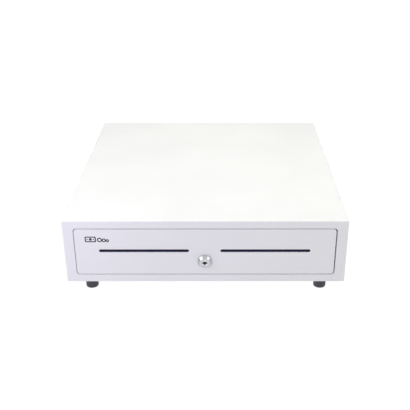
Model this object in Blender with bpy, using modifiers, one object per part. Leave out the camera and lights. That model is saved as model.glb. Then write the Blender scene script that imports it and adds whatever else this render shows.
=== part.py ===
"""Cash drawer: a folded steel case on rubber feet, with a drawer on rollers, a cash tray with
bill clips, a key lock with a release rod, and a solenoid latch behind the drawer.

Metres. +Z is up, +X is to the right seen from the front, and the front faces -Y. The origin is
on the surface that the feet stand on, under the middle of the whole object. The drawer is
closed, the key slot upright, the latch released and the bill clips down.
"""
from math import acos, cos, pi, radians, sin

import bmesh
import bpy
from mathutils import Vector

MM = 0.001
GAP = 0.3 * MM  # left between pieces that touch
CORNER_GAP = 0.5 * MM  # left where a square corner sits inside a fold

# The case.
WIDTH = 410 * MM
DEPTH = 420 * MM  # from the front face to the rear edge
CASE_HEIGHT = 100 * MM
FOOT_HEIGHT = 14 * MM
FOOT_RADIUS = 9.25 * MM
FOOT_X = 170.3 * MM
FOOT_INSET = 12.5 * MM  # from the front or rear edge to a foot's middle
SHEET = 1.2 * MM
BEND = 2.4 * MM  # outside radius of the folds
FRAME_SIDE = 16 * MM
FRAME_TOP = 12.5 * MM
FRAME_BOTTOM = 12 * MM
OPENING_RADIUS = 5 * MM
RETURN_DEPTH = 8 * MM  # flange folded in around the front opening
FLANGE = 10 * MM  # rear flange that the rear panel is screwed to
PANEL_RECESS = 5.25 * MM  # rear edge of the case to the rear panel's inner face

# The drawer's front and its lock.
FRONT_GAP_SIDE = 0.75 * MM
FRONT_GAP_LEVEL = 0.5 * MM  # above and below it
FRONT_SHIFT = -0.35 * MM  # the front sits this far to the left in its opening
FRONT_DEPTH = 11.2 * MM
SLOT_LENGTH = 130.4 * MM
SLOT_HEIGHT = 4.5 * MM
SLOT_X = 87.8 * MM
SLOT_SHIFT = -1 * MM  # the pair of slots, likewise
SLOT_Z = 65.6 * MM
LOCK_X = -1 * MM
LOCK_Z = 48 * MM
LOCK_STAND = 5.5 * MM  # how far the lock stands out of the front
BARREL_RADIUS = 9.2 * MM
BARREL_LENGTH = 24 * MM
PLUG_RADIUS = 5.6 * MM

# The drawer's box and rollers.
BOX_HALF_WIDTH = 180 * MM
BOX_FLOOR = 31 * MM
BOX_TOP = 92 * MM
BOX_DEPTH = 365 * MM  # from the front face to the outside of the rear wall
FRONT_WALL_TOP = 60 * MM
ROLLER_RADIUS = 8.5 * MM
ROLLER_BORE = 2.3 * MM
AXLE_RADIUS = 2 * MM
SHOULDER_RADIUS = 3.5 * MM
CHANNEL_WIDTH = 14 * MM
REAR_ROLLER_Z = 60 * MM
REAR_ROLLER_X = 195.5 * MM
FRONT_ROLLER_Z = 62 * MM
FRONT_ROLLER_X = 185 * MM

# The cash tray.
TRAY_HALF_WIDTH = 177.5 * MM
TRAY_BOTTOM = 51 * MM
TRAY_TOP = 97 * MM
TRAY_WALL = 2 * MM
PLASTIC = 1.6 * MM
BILL_COLUMNS = 4
COIN_COLUMNS = 4
COIN_ROWS = 2
CLIP_PIVOT_Z = 91 * MM
CLIP_REACH = 88 * MM
CLIP_DROP = 36 * MM
CLIP_WIDTH = 18 * MM
HUB_RADIUS = 5 * MM

# The latch, which swings about an upright pin behind the drawer.
DECK_TOP = 53.5 * MM
LATCH_X = 14 * MM
LATCH_LOW = 64 * MM
LATCH_HIGH = 68 * MM
LATCH_SWING = radians(18)  # between catching the striker and clear of it
LATCH_HALF = 4.5 * MM
LINK_REACH = 14 * MM  # pivot to the pin that the solenoid pulls
SPRING_Z = 60 * MM
SPRING_X = 120 * MM
INLET = (142 * MM, 158 * MM, 31 * MM, 45 * MM)  # its low and high x, then z

# Places worked out from them.
FRONT = (LOCK_STAND - DEPTH) / 2
REAR = FRONT + DEPTH
BASE = FOOT_HEIGHT
TOP = BASE + CASE_HEIGHT
OPENING_WIDTH = WIDTH - 2 * FRAME_SIDE
OPENING_HEIGHT = CASE_HEIGHT - FRAME_TOP - FRAME_BOTTOM
OPENING_Z = BASE + FRAME_BOTTOM + OPENING_HEIGHT / 2
INNER_X = WIDTH / 2 - SHEET
PANEL = REAR - PANEL_RECESS
PANEL_BACK = PANEL + SHEET
BOX_FRONT = FRONT + FRONT_DEPTH + GAP
BOX_REAR = FRONT + BOX_DEPTH
TRAY_FRONT = FRONT + 32.25 * MM
TRAY_REAR = BOX_REAR - 5.75 * MM
TRAY_SPLIT = TRAY_FRONT + 133 * MM  # coins in front of it, bills behind
TRAY_FLOOR = TRAY_BOTTOM + TRAY_WALL
TRAY_INNER_X = TRAY_HALF_WIDTH - TRAY_WALL
CLIP_PIVOT_Y = TRAY_REAR - 8 * MM
LATCH_Y = REAR - 22.75 * MM
SOLENOID_Y = LATCH_Y - 13.6 * MM
SOLENOID_Z = (LATCH_LOW + LATCH_HIGH) / 2

FINISHES = {  # colour, roughness, metallic
    "powder_coat": ((0.80, 0.80, 0.82), 0.5, 0.0),
    "zinc": ((0.62, 0.63, 0.64), 0.35, 1.0),
    "spring_steel": ((0.45, 0.46, 0.48), 0.3, 1.0),
    "chrome": ((0.82, 0.83, 0.85), 0.1, 1.0),
    "brass": ((0.72, 0.56, 0.28), 0.3, 1.0),
    "black_rubber": ((0.02, 0.02, 0.022), 0.8, 0.0),
    "black_plastic": ((0.025, 0.025, 0.028), 0.45, 0.0),
    "roller_plastic": ((0.75, 0.75, 0.72), 0.4, 0.0),
    "coil_tape": ((0.55, 0.30, 0.10), 0.5, 0.0),
}

X_AXIS = (0, pi / 2, 0)  # turns a piece's own Z to world +X
MINUS_X_AXIS = (0, -pi / 2, 0)
FORWARD = (pi / 2, 0, 0)  # turns a piece's own Z to world -Y
BACKWARD = (-pi / 2, 0, 0)  # turns a piece's own Z to world +Y
PLANES = {"XY": (0, 0, 0), "XZ": (pi / 2, 0, 0), "YZ": (pi / 2, 0, pi / 2)}
SIDES = {"left": -1, "right": 1}


# ---------------------------------------------------------------- making things

def new_collection(name):
    collection = bpy.data.collections.new(name)
    bpy.context.scene.collection.children.link(collection)
    return collection


for leftover in list(bpy.data.objects):
    bpy.data.objects.remove(leftover, do_unlink=True)
PARTS = new_collection("cash_drawer")
TOOLS = new_collection("cutters")


def finished(obj, finish):
    """Gives obj its own material, with the colour, roughness and metallic value of a finish."""
    colour, roughness, metallic = FINISHES[finish]
    surface = bpy.data.materials.new(obj.name)
    surface.use_nodes = True
    surface.diffuse_color = (*colour, 1)
    shader = surface.node_tree.nodes["Principled BSDF"]
    shader.inputs["Base Color"].default_value = (*colour, 1)
    shader.inputs["Roughness"].default_value = roughness
    shader.inputs["Metallic"].default_value = metallic
    obj.data.materials.append(surface)
    return obj


def linked(name, data, finish):
    """A new object among the parts, or among the cutters where it has no finish."""
    obj = bpy.data.objects.new(name, data)
    if finish:
        PARTS.objects.link(obj)
        return finished(obj, finish)
    TOOLS.objects.link(obj)
    obj.hide_render = True
    obj.display_type = "WIRE"
    return obj


def mesh_from(name, bm):
    mesh = bpy.data.meshes.new(name)
    bm.to_mesh(mesh)
    bm.free()
    return mesh


def box(name, low, high, finish=None, open_sides=()):
    """A block between two corners, without the faces whose outward directions are listed."""
    low, high = Vector(low), Vector(high)
    bm = bmesh.new()
    bmesh.ops.create_cube(bm, size=1.0)
    bmesh.ops.scale(bm, vec=high - low, verts=bm.verts)
    bm.normal_update()
    away = [f for f in bm.faces if any(f.normal.dot(Vector(side)) > 0.9 for side in open_sides)]
    bmesh.ops.delete(bm, geom=away, context="FACES_ONLY")
    obj = linked(name, mesh_from(name, bm), finish)
    obj.location = (low + high) / 2
    return obj


def cylinder(name, radius, length, middle, turn=(0, 0, 0), finish=None, segments=20):
    bm = bmesh.new()
    bmesh.ops.create_cone(
        bm, cap_ends=True, segments=segments, radius1=radius, radius2=radius, depth=length
    )
    mesh = mesh_from(name, bm)
    mesh.shade_smooth()
    mesh.set_sharp_from_angle(angle=radians(40))
    obj = linked(name, mesh, finish)
    obj.location = middle
    obj.rotation_euler = turn
    return obj


def turned(name, profile, origin, turn, finish, steps=20):
    """A profile of (radius, height) turned about the height axis, its outer side listed from
    the top down. It is a ring where the profile stays off the axis."""
    count = len(profile)
    ring = min(radius for radius, _ in profile) > 0
    edges = [(i, (i + 1) % count) for i in range(count if ring else count - 1)]
    mesh = bpy.data.meshes.new(name)
    mesh.from_pydata([(radius, 0, height) for radius, height in profile], edges, [])
    obj = linked(name, mesh, finish)
    obj.location = origin
    obj.rotation_euler = turn
    screw = obj.modifiers.new("Screw", "SCREW")
    screw.steps = steps
    screw.render_steps = steps
    screw.use_merge_vertices = True
    screw.merge_threshold = 0.01 * MM
    screw.use_smooth_shade = True
    return obj


def arc(centre, radius, start, end, steps=4):
    """Points along an arc, with its angles in degrees."""
    angles = [radians(start + (end - start) * i / steps) for i in range(steps + 1)]
    return [(centre[0] + radius * cos(a), centre[1] + radius * sin(a)) for a in angles]


def circle(centre, radius, segments=16):
    return arc(centre, radius, 0, 360 * (1 - 1 / segments), segments - 1)


def rounded(centre, width, height, radius, steps=4):
    """The outline of a rectangle with round corners."""
    x, y = width / 2 - radius, height / 2 - radius
    corners = ((x, y, 0), (-x, y, 90), (-x, -y, 180), (x, -y, 270))
    return [
        point
        for dx, dy, start in corners
        for point in arc((centre[0] + dx, centre[1] + dy), radius, start, start + 90, steps)
    ]


def belt(large, large_radius, small, small_radius):
    """The outline of a belt around two circles."""
    reach = Vector(small) - Vector(large)
    heading = Vector((1, 0)).angle_signed(reach) * -180 / pi
    spread = acos((large_radius - small_radius) / reach.length) * 180 / pi
    around_large = arc(large, large_radius, heading + spread, heading + 360 - spread, 10)
    around_small = arc(small, small_radius, heading - spread, heading + spread, 6)
    return around_large + around_small


def prism(name, outlines, plane, low, high, finish=None):
    """Flat outlines in a plane, the first the outside and the rest holes, pushed out between
    two places along the plane's normal."""
    curve = bpy.data.curves.new(name, "CURVE")
    curve.dimensions = "2D"
    curve.fill_mode = "BOTH"
    curve.extrude = (high - low) / 2
    for outline in outlines:
        spline = curve.splines.new("POLY")
        spline.points.add(len(outline) - 1)
        for point, (u, v) in zip(spline.points, outline):
            point.co = (u, v, 0, 1)
        spline.use_cyclic_u = True
    obj = linked(name, curve, finish)
    middle = (low + high) / 2
    obj.location = {"XY": (0, 0, middle), "XZ": (0, middle, 0), "YZ": (middle, 0, 0)}[plane]
    obj.rotation_euler = PLANES[plane]
    return obj


def as_mesh(obj, finish=None):
    """The mesh of a curve object, in its place, so that it can be cut or can cut."""
    bpy.context.view_layer.update()
    evaluated = obj.evaluated_get(bpy.context.evaluated_depsgraph_get())
    mesh = bpy.data.meshes.new_from_object(evaluated)
    mesh.materials.clear()
    bm = bmesh.new()
    bm.from_mesh(mesh)
    bmesh.ops.remove_doubles(bm, verts=bm.verts, dist=0.01 * MM)
    bm.to_mesh(mesh)
    bm.free()
    name, matrix = obj.name, obj.matrix_world.copy()
    bpy.data.objects.remove(obj, do_unlink=True)
    solid = linked(name, mesh, finish)
    solid.matrix_world = matrix
    return solid


def wire(name, points, radius, finish):
    """A round wire through points, with flat ends."""
    curve = bpy.data.curves.new(name, "CURVE")
    curve.dimensions = "3D"
    curve.bevel_depth = radius
    curve.bevel_resolution = 2
    curve.use_fill_caps = True
    spline = curve.splines.new("POLY")
    spline.points.add(len(points) - 1)
    for point, place in zip(spline.points, points):
        point.co = (*place, 1)
    return linked(name, curve, finish)


def combined(obj, operation, tool, parent=None):
    if parent:
        tool.parent = parent
    modifier = obj.modifiers.new(tool.name, "BOOLEAN")
    modifier.operation = operation
    modifier.object = tool


def cut(obj, tool, parent=None):
    combined(obj, "DIFFERENCE", tool, parent)


def join(obj, tool, parent=None):
    combined(obj, "UNION", tool, parent)


def folds(obj, radius, segments=3):
    bevel = obj.modifiers.new("Folds", "BEVEL")
    bevel.width = radius
    bevel.segments = segments
    bevel.limit_method = "ANGLE"


def thickened(obj, thickness):
    sheet = obj.modifiers.new("Sheet", "SOLIDIFY")
    sheet.thickness = thickness
    sheet.offset = -1
    sheet.use_even_offset = True


def smooth_route(points, steps):
    """Points along a smooth curve through the given points."""
    padded = [points[0], *points, points[-1]]
    route = []
    for a, b, c, d in zip(padded, padded[1:], padded[2:], padded[3:]):
        a, b, c, d = Vector(a), Vector(b), Vector(c), Vector(d)
        for i in range(steps):
            t = i / steps
            bend = (2 * a - 5 * b + 4 * c - d) * t**2 + (3 * b - a - 3 * c + d) * t**3
            route.append((2 * b + (c - a) * t + bend) / 2)
    return [*route, Vector(points[-1])]


def coil(name, start, end, radius, wire_radius, turns, finish):
    """A coil spring between two places on its axis, its end turns flat against the stops."""
    start, end = Vector(start), Vector(end)
    along = (end - start).normalized()
    side = along.orthogonal().normalized()
    up = along.cross(side)
    per_turn = 9
    count = turns * per_turn
    points = []
    for i in range(count + 1):
        angle = 2 * pi * i / per_turn
        place = start + along * wire_radius
        place += (end - start - 2 * along * wire_radius) * (i / count)
        points.append(place + radius * (side * cos(angle) + up * sin(angle)))
    return wire(name, points, wire_radius, finish)


# ---------------------------------------------------------------- the case

def screw_places():
    """The middles of the four screws that hold the rear panel."""
    for side, sign in SIDES.items():
        for level, z in (("lower", 40 * MM), ("upper", 95 * MM)):
            yield f"{level}_{side}", sign * (INNER_X - FLANGE / 2 - GAP), z


def foot_places():
    for end, y in (("front", FRONT + FOOT_INSET), ("rear", REAR - FOOT_INSET)):
        for side, sign in SIDES.items():
            yield f"{end}_{side}", sign * FOOT_X, y


def case_shell():
    """Top, sides and front frame folded from one sheet, open below and behind, with a flange
    folded in around the front opening and one across the rear for the rear panel."""
    half = WIDTH / 2
    shell = box(
        "case_shell",
        (-half, FRONT, BASE),
        (half, REAR, TOP),
        "powder_coat",
        open_sides=((0, 0, -1), (0, 1, 0)),
    )
    folds(shell, BEND)
    thickened(shell, SHEET)

    width, height, middle = OPENING_WIDTH, OPENING_HEIGHT, (0, OPENING_Z)
    collar = rounded(middle, width + 2 * SHEET, height + 2 * SHEET, OPENING_RADIUS + SHEET)
    inside = FRONT + 0.5 * SHEET
    join(shell, as_mesh(prism("front_return", [collar], "XZ", inside, FRONT + RETURN_DEPTH)))
    hole = rounded(middle, width, height, OPENING_RADIUS)
    cut(shell, as_mesh(prism("front_opening", [hole], "XZ", FRONT - 5 * MM, FRONT + 20 * MM)))

    overlap = 0.4 * MM
    outer, inner = INNER_X + overlap, INNER_X - FLANGE
    low, high = BASE + SHEET + GAP, TOP - SHEET + overlap
    arch = [
        (-outer, low), (-inner, low), (-inner, high - FLANGE), (inner, high - FLANGE),
        (inner, low), (outer, low), (outer, high), (-outer, high),
    ]
    flange_back = PANEL - GAP
    flange_front = flange_back - SHEET
    join(shell, as_mesh(prism("rear_flange", [arch], "XZ", flange_front, flange_back)))
    for name, x, z in screw_places():
        cut(shell, cylinder(f"flange_hole_{name}", 1.8 * MM, 6 * MM, (x, flange_front, z), FORWARD))


def base_plate():
    half = INNER_X - CORNER_GAP
    front, rear = FRONT + SHEET + CORNER_GAP, REAR - GAP
    plate = box("base_plate", (-half, front, BASE), (half, rear, BASE + SHEET), "powder_coat")
    for side, sign in SIDES.items():
        x = sorted((sign * half, sign * (half - SHEET)))
        low = (x[0], front, BASE + SHEET / 2)
        high = (x[1], PANEL - 3 * MM, BASE + 10 * MM)
        join(plate, box(f"base_lip_{side}", low, high))
    for name, x, y in foot_places():
        cut(plate, cylinder(f"foot_hole_{name}", 2.2 * MM, 6 * MM, (x, y, BASE)))


def rear_panel():
    half = INNER_X - CORNER_GAP
    low, high = BASE + SHEET + GAP, TOP - SHEET - CORNER_GAP
    panel = box("rear_panel", (-half, PANEL, low), (half, PANEL_BACK, high), "powder_coat")
    for name, x, z in screw_places():
        cut(panel, cylinder(f"panel_hole_{name}", 1.8 * MM, 6 * MM, (x, PANEL, z), FORWARD))
    x_low, x_high, z_low, z_high = INLET
    corner = (x_low - GAP, PANEL - 3 * MM, z_low - GAP)
    cut(panel, box("inlet_window", corner, (x_high + GAP, PANEL_BACK + 3 * MM, z_high + GAP)))


def panel_screws():
    profile = [(0, 2), (1.6, 1.9), (2.8, 1.1), (3, 0), (1.4, 0), (1.4, -7), (0, -7)]
    points = [(radius * MM, height * MM) for radius, height in profile]
    for name, x, z in screw_places():
        turned(f"panel_screw_{name}", points, (x, PANEL_BACK + GAP, z), BACKWARD, "zinc", 14)


def feet():
    """Rubber feet, each hollowed from below for the screw that holds it."""
    top = FOOT_HEIGHT - GAP
    recess, hole, roof = 5.2 * MM, 2.2 * MM, 4.5 * MM
    foot = [
        (FOOT_RADIUS, top), (FOOT_RADIUS, 1.8 * MM), (FOOT_RADIUS - 0.5 * MM, 0.5 * MM),
        (FOOT_RADIUS - 1.7 * MM, 0), (recess, 0), (recess, roof), (hole, roof), (hole, top),
    ]
    head, shank = 4.4 * MM, 1.8 * MM
    screw = [
        (0, 20 * MM), (shank, 20 * MM), (shank, roof - GAP), (head, roof - GAP),
        (head, 2 * MM), (head - 1.2 * MM, 1.2 * MM), (0, 1.2 * MM),
    ]
    for name, x, y in foot_places():
        turned(f"foot_{name}", foot, (x, y, 0), (0, 0, 0), "black_rubber", 28)
        turned(f"foot_screw_{name}", screw, (x, y, 0), (0, 0, 0), "zinc", 14)


# ---------------------------------------------------------------- rails and rollers

def rails():
    """A channel on each side of the case and an angle on each side of the drawer."""
    outer = INNER_X - GAP
    lip, web = outer - CHANNEL_WIDTH, outer - SHEET
    low, high = REAR_ROLLER_Z - 10 * MM, REAR_ROLLER_Z + 10.6 * MM
    channel = [
        (outer, low), (lip, low), (lip, low + SHEET), (web, low + SHEET),
        (web, high - SHEET), (lip, high - SHEET), (lip, high), (outer, high),
    ]
    root = BOX_HALF_WIDTH + GAP
    tread = FRONT_ROLLER_Z + ROLLER_RADIUS + GAP
    edge = FRONT_ROLLER_X + 2.2 * MM
    angle = [
        (root, tread - 26 * MM), (root + SHEET, tread - 26 * MM), (root + SHEET, tread),
        (edge, tread), (edge, tread + SHEET), (root, tread + SHEET),
    ]
    for side, sign in SIDES.items():
        place = [(sign * x, z) for x, z in channel]
        prism(f"case_rail_{side}", [place], "XZ", FRONT + 13.25 * MM, REAR - 14.75 * MM, "zinc")
        place = [(sign * x, z) for x, z in angle]
        prism(f"drawer_rail_{side}", [place], "XZ", BOX_FRONT + 2 * MM, BOX_REAR - GAP, "zinc")


def roller(name, origin, half_width, turn):
    edge = half_width - 0.6 * MM
    profile = [
        (ROLLER_RADIUS - 0.6 * MM, half_width), (ROLLER_RADIUS, edge), (ROLLER_RADIUS, -edge),
        (ROLLER_RADIUS - 0.6 * MM, -half_width), (ROLLER_BORE, -half_width),
        (ROLLER_BORE, half_width),
    ]
    turned(name, profile, origin, turn, "roller_plastic", 24)


def axle(name, origin, half_width, shoulder_end, head_sign, turn):
    """A riveted pin for a roller: a head on one side of it and a long shoulder on the other."""
    seat = half_width + GAP
    head = seat + 1 * MM
    reach = [(0, shoulder_end), (SHOULDER_RADIUS, shoulder_end), (SHOULDER_RADIUS, seat)]
    profile = reach + [
        (AXLE_RADIUS, seat), (AXLE_RADIUS, -seat), (SHOULDER_RADIUS, -seat),
        (SHOULDER_RADIUS, -head), (0, -head),
    ]
    if head_sign > 0:
        profile = [(radius, -height) for radius, height in reversed(profile)]
    turned(name, profile, origin, turn, "zinc", 16)


def rollers():
    web = INNER_X - GAP - SHEET
    for side, sign in SIDES.items():
        turn = X_AXIS if sign > 0 else MINUS_X_AXIS
        origin = (sign * FRONT_ROLLER_X, FRONT + 23.25 * MM, FRONT_ROLLER_Z)
        half = 2.1 * MM
        roller(f"front_roller_{side}", origin, half, turn)
        axle(f"front_axle_{side}", origin, half, web - GAP - FRONT_ROLLER_X, -1, turn)
        origin = (sign * REAR_ROLLER_X, BOX_REAR - 7.75 * MM, REAR_ROLLER_Z)
        half = 4 * MM
        reach = REAR_ROLLER_X - (BOX_HALF_WIDTH + SHEET + 2 * GAP)
        roller(f"rear_roller_{side}", origin, half, turn)
        axle(f"rear_axle_{side}", origin, half, reach, 1, turn)


# ---------------------------------------------------------------- the drawer

def drawer_box():
    """An open-topped box folded from sheet, with ledges inside that the tray rests on."""
    tray_box = box(
        "drawer_box",
        (-BOX_HALF_WIDTH, BOX_FRONT, BOX_FLOOR),
        (BOX_HALF_WIDTH, BOX_REAR, BOX_TOP),
        "powder_coat",
        open_sides=((0, 0, 1),),
    )
    folds(tray_box, 1.8 * MM, 2)
    thickened(tray_box, SHEET)
    edge = BOX_HALF_WIDTH - 5 * MM
    low = (-edge, BOX_FRONT - 2 * MM, FRONT_WALL_TOP)
    cut(tray_box, box("low_front_wall", low, (edge, BOX_FRONT + 4 * MM, BOX_TOP + 5 * MM)))
    wall = BOX_HALF_WIDTH - SHEET
    for side, sign in SIDES.items():
        x = sorted((sign * (wall + 0.4 * MM), sign * (wall - 7 * MM)))
        top = TRAY_BOTTOM - GAP
        low = (x[0], TRAY_FRONT + 1 * MM, top - SHEET)
        join(tray_box, box(f"tray_ledge_{side}", low, (x[1], TRAY_REAR, top)))
    for name, radius, y in (("barrel", BARREL_RADIUS + GAP, BOX_FRONT), ("rod", 2.5 * MM, BOX_REAR)):
        place = (LOCK_X, y, LOCK_Z)
        cut(tray_box, cylinder(f"{name}_hole", radius, 8 * MM, place, FORWARD))


def drawer_front():
    """The inset front: a shallow pan with two document slots and the lock's hole."""
    width = OPENING_WIDTH - 2 * FRONT_GAP_SIDE
    height = OPENING_HEIGHT - 2 * FRONT_GAP_LEVEL
    middle = (FRONT_SHIFT, OPENING_Z)
    outline = rounded(middle, width, height, OPENING_RADIUS - FRONT_GAP_LEVEL)
    back = FRONT + FRONT_DEPTH
    front = as_mesh(prism("drawer_front", [outline], "XZ", FRONT, back, "powder_coat"), "powder_coat")
    hollow = rounded(middle, width - 2 * SHEET, height - 2 * SHEET, OPENING_RADIUS - SHEET)
    cut(front, as_mesh(prism("front_hollow", [hollow], "XZ", FRONT + SHEET, back + 5 * MM)))
    for side, sign in SIDES.items():
        place = (SLOT_SHIFT + sign * SLOT_X, SLOT_Z)
        slot = rounded(place, SLOT_LENGTH, SLOT_HEIGHT, SLOT_HEIGHT / 2.01)
        cut(front, as_mesh(prism(f"document_slot_{side}", [slot], "XZ", FRONT - 3 * MM, back)))
    place = (LOCK_X, FRONT, LOCK_Z)
    cut(front, cylinder("lock_hole", BARREL_RADIUS + GAP, 8 * MM, place, FORWARD, segments=32))


def lock():
    """A barrel with a chrome collar, held by a nut behind the front, and the plug that the key
    turns, whose rod runs under the tray to a crank behind the drawer's rear wall."""
    origin = (LOCK_X, FRONT, LOCK_Z)
    bore, end = PLUG_RADIUS + GAP, -BARREL_LENGTH
    collar = [(7.2, 5.5), (8.3, 5.1), (10.2, 2.7), (10.75, 1.5), (10.75, 0.3)]
    body = [(radius * MM, height * MM) for radius, height in collar] + [
        (BARREL_RADIUS, GAP), (BARREL_RADIUS, end), (bore, end), (bore, 4.9 * MM),
        (bore + 0.4 * MM, LOCK_STAND),
    ]
    turned("lock_body", body, origin, FORWARD, "chrome", 32)

    back = -BARREL_LENGTH - 1 * MM
    face = 4.6 * MM
    profile = [
        (0, face), (PLUG_RADIUS - 1 * MM, face), (PLUG_RADIUS, face - 1 * MM),
        (PLUG_RADIUS, back), (0, back),
    ]
    plug = turned("lock_plug", profile, origin, FORWARD, "chrome", 24)
    keyhole = rounded((LOCK_X, LOCK_Z), 2.4 * MM, 7.4 * MM, 1.1 * MM)
    cut(plug, as_mesh(prism("keyhole", [keyhole], "XZ", FRONT - 8 * MM, FRONT + 10 * MM)))

    flats = circle((LOCK_X, LOCK_Z), 14.4 * MM, 6)
    bore = circle((LOCK_X, LOCK_Z), BARREL_RADIUS + GAP, 24)
    low = FRONT + SHEET + GAP
    prism("lock_nut", [flats, bore], "XZ", low, low + 4 * MM, "brass")

    rod_front, rod_rear = FRONT - back + GAP, BOX_REAR + 7.25 * MM
    middle = (LOCK_X, (rod_front + rod_rear) / 2, LOCK_Z)
    rod = cylinder("release_rod", 2 * MM, rod_rear - rod_front, middle, FORWARD, "zinc", 14)
    crank = belt((LOCK_X, LOCK_Z), 4.5 * MM, (LOCK_X - 14 * MM, LOCK_Z), 2.5 * MM)
    join(rod, as_mesh(prism("crank", [crank], "XZ", rod_rear - 4.5 * MM, rod_rear - 0.1 * MM)))


def striker():
    """A hook behind the drawer's rear wall, whose leg hangs behind the latch's nose."""
    root, leg_front, leg_back = BOX_REAR + 1 * MM, BOX_REAR + 10.75 * MM, BOX_REAR + 14.25 * MM
    hook = [
        (root, 71 * MM), (leg_front, 71 * MM), (leg_front, 62 * MM), (leg_back, 62 * MM),
        (leg_back, 75 * MM), (root, 75 * MM),
    ]
    low = (-12 * MM, BOX_REAR + GAP, 70 * MM)
    plate = box("striker", low, (12 * MM, BOX_REAR + GAP + 1.5 * MM, 90 * MM), "zinc")
    join(plate, as_mesh(prism("striker_hook", [hook], "YZ", -1.5 * MM, 1.5 * MM)))


# ---------------------------------------------------------------- the tray

def divider_places():
    step = 2 * TRAY_INNER_X / BILL_COLUMNS
    return [-TRAY_INNER_X + step * i for i in range(1, BILL_COLUMNS)]


def cash_tray():
    """A tray with a bay for coins in front and one for bills behind."""
    low = (-TRAY_HALF_WIDTH, TRAY_FRONT, TRAY_BOTTOM)
    tray = box("cash_tray", low, (TRAY_HALF_WIDTH, TRAY_REAR, TRAY_TOP), "black_plastic")
    half = TRAY_WALL / 2
    bays = {
        "coin_bay": (TRAY_FRONT + TRAY_WALL, TRAY_SPLIT - half),
        "bill_bay": (TRAY_SPLIT + half, TRAY_REAR - TRAY_WALL),
    }
    for name, (front, rear) in bays.items():
        corner = (-TRAY_INNER_X, front, TRAY_FLOOR)
        cut(tray, box(name, corner, (TRAY_INNER_X, rear, TRAY_TOP + 5 * MM)))


def coin_tray():
    """A lift-out insert with round-bottomed cups."""
    low = Vector((-TRAY_INNER_X + GAP, TRAY_FRONT + TRAY_WALL + GAP, TRAY_FLOOR + GAP))
    high = Vector((TRAY_INNER_X - GAP, TRAY_SPLIT - TRAY_WALL / 2 - GAP, TRAY_TOP - 3 * MM))
    insert = box("coin_tray", low, high, "black_plastic")
    pitch = ((high.x - low.x - TRAY_WALL) / COIN_COLUMNS, (high.y - low.y - TRAY_WALL) / COIN_ROWS)
    for column in range(COIN_COLUMNS):
        for row in range(COIN_ROWS):
            x = low.x + TRAY_WALL + pitch[0] * column
            y = low.y + TRAY_WALL + pitch[1] * row
            corner = (x, y, low.z + TRAY_WALL)
            far = (x + pitch[0] - TRAY_WALL, y + pitch[1] - TRAY_WALL, high.z + 12 * MM)
            cup = box(f"coin_cup_{column}_{row}", corner, far)
            folds(cup, 9 * MM, 2)
            cut(insert, cup)


def bill_dividers():
    """Plates between the bills, lower at the rear to pass under the clips' rod."""
    front, rear = TRAY_SPLIT + TRAY_WALL / 2 + GAP, TRAY_REAR - TRAY_WALL - GAP
    low, high = TRAY_FLOOR + GAP, TRAY_TOP - 5 * MM
    notch_y, notch_z = CLIP_PIVOT_Y - 7 * MM, CLIP_PIVOT_Z - 4 * MM
    front_corner = arc((front + 6 * MM, high - 6 * MM), 6 * MM, 180, 90)
    outline = [(front, low)] + front_corner + [
        (notch_y, high), (notch_y, notch_z), (rear, notch_z), (rear, low),
    ]
    for number, x in enumerate(divider_places(), 1):
        name = f"bill_divider_{number}"
        prism(name, [outline], "YZ", x - PLASTIC / 2, x + PLASTIC / 2, "black_plastic")


def bill_clips():
    """Arms that hang from a rod across the tray and press on the bills, each with its origin
    on the rod's axis."""
    length = 2 * (TRAY_INNER_X - GAP)
    place = (0, CLIP_PIVOT_Y, CLIP_PIVOT_Z)
    cylinder("clip_rod", AXLE_RADIUS, length, place, X_AXIS, "zinc", 14)

    half = 1.5 * MM
    root = HUB_RADIUS * cos(radians(17.5))
    start, end = Vector((-root, 0)), Vector((-CLIP_REACH, -CLIP_DROP))
    bend = Vector((-46 * MM, -12 * MM))
    upper, lower = [], []
    for i in range(8):
        t = i / 7
        place = start * (1 - t) ** 2 + bend * 2 * t * (1 - t) + end * t**2
        along = ((bend - start) * (1 - t) + (end - bend) * t).normalized()
        normal = Vector((along.y, -along.x)) * half
        upper.append(tuple(place + normal))
        lower.append(tuple(place - normal))
    heading = Vector((1, 0)).angle_signed(end - bend) * -180 / pi
    tip = arc(end, half, heading - 90, heading + 90, 4)[1:-1]
    hub = arc((0, 0), HUB_RADIUS, 180 + 17.5, 540 - 17.5, 14)
    outline = hub + upper[1:] + tip + lower[:0:-1]
    edges = [-TRAY_INNER_X, *divider_places(), TRAY_INNER_X]
    for number, (left, right) in enumerate(zip(edges, edges[1:]), 1):
        outlines = [outline, circle((0, 0), ROLLER_BORE, 14)]
        name = f"bill_clip_{number}"
        clip = prism(name, outlines, "YZ", -CLIP_WIDTH / 2, CLIP_WIDTH / 2, "black_plastic")
        clip.location = ((left + right) / 2, CLIP_PIVOT_Y, CLIP_PIVOT_Z)


# ---------------------------------------------------------------- the latch and its wiring


def mech_bracket():
    """A folded table that carries the latch, its solenoid and the switch."""
    low, leg_left, leg_right, toe = BASE + SHEET + GAP, -40 * MM, 92 * MM, 12 * MM
    thick = 1.5 * MM
    hat = [
        (leg_left - toe, low), (leg_left + thick, low), (leg_left + thick, DECK_TOP - thick),
        (leg_right - thick, DECK_TOP - thick), (leg_right - thick, low), (leg_right + toe, low),
        (leg_right + toe, low + thick), (leg_right, low + thick), (leg_right, DECK_TOP),
        (leg_left, DECK_TOP), (leg_left, low + thick), (leg_left - toe, low + thick),
    ]
    front, rear = BOX_REAR + 8.75 * MM, PANEL - 3 * MM
    bracket = as_mesh(prism("mech_bracket", [hat], "XZ", front, rear, "zinc"), "zinc")
    post = (46 * MM, LATCH_Y + 8.5 * MM, (DECK_TOP + 71 * MM) / 2 - 0.5 * MM)
    join(bracket, cylinder("spring_hook", 2 * MM, 71 * MM - DECK_TOP, post, segments=12))


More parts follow.
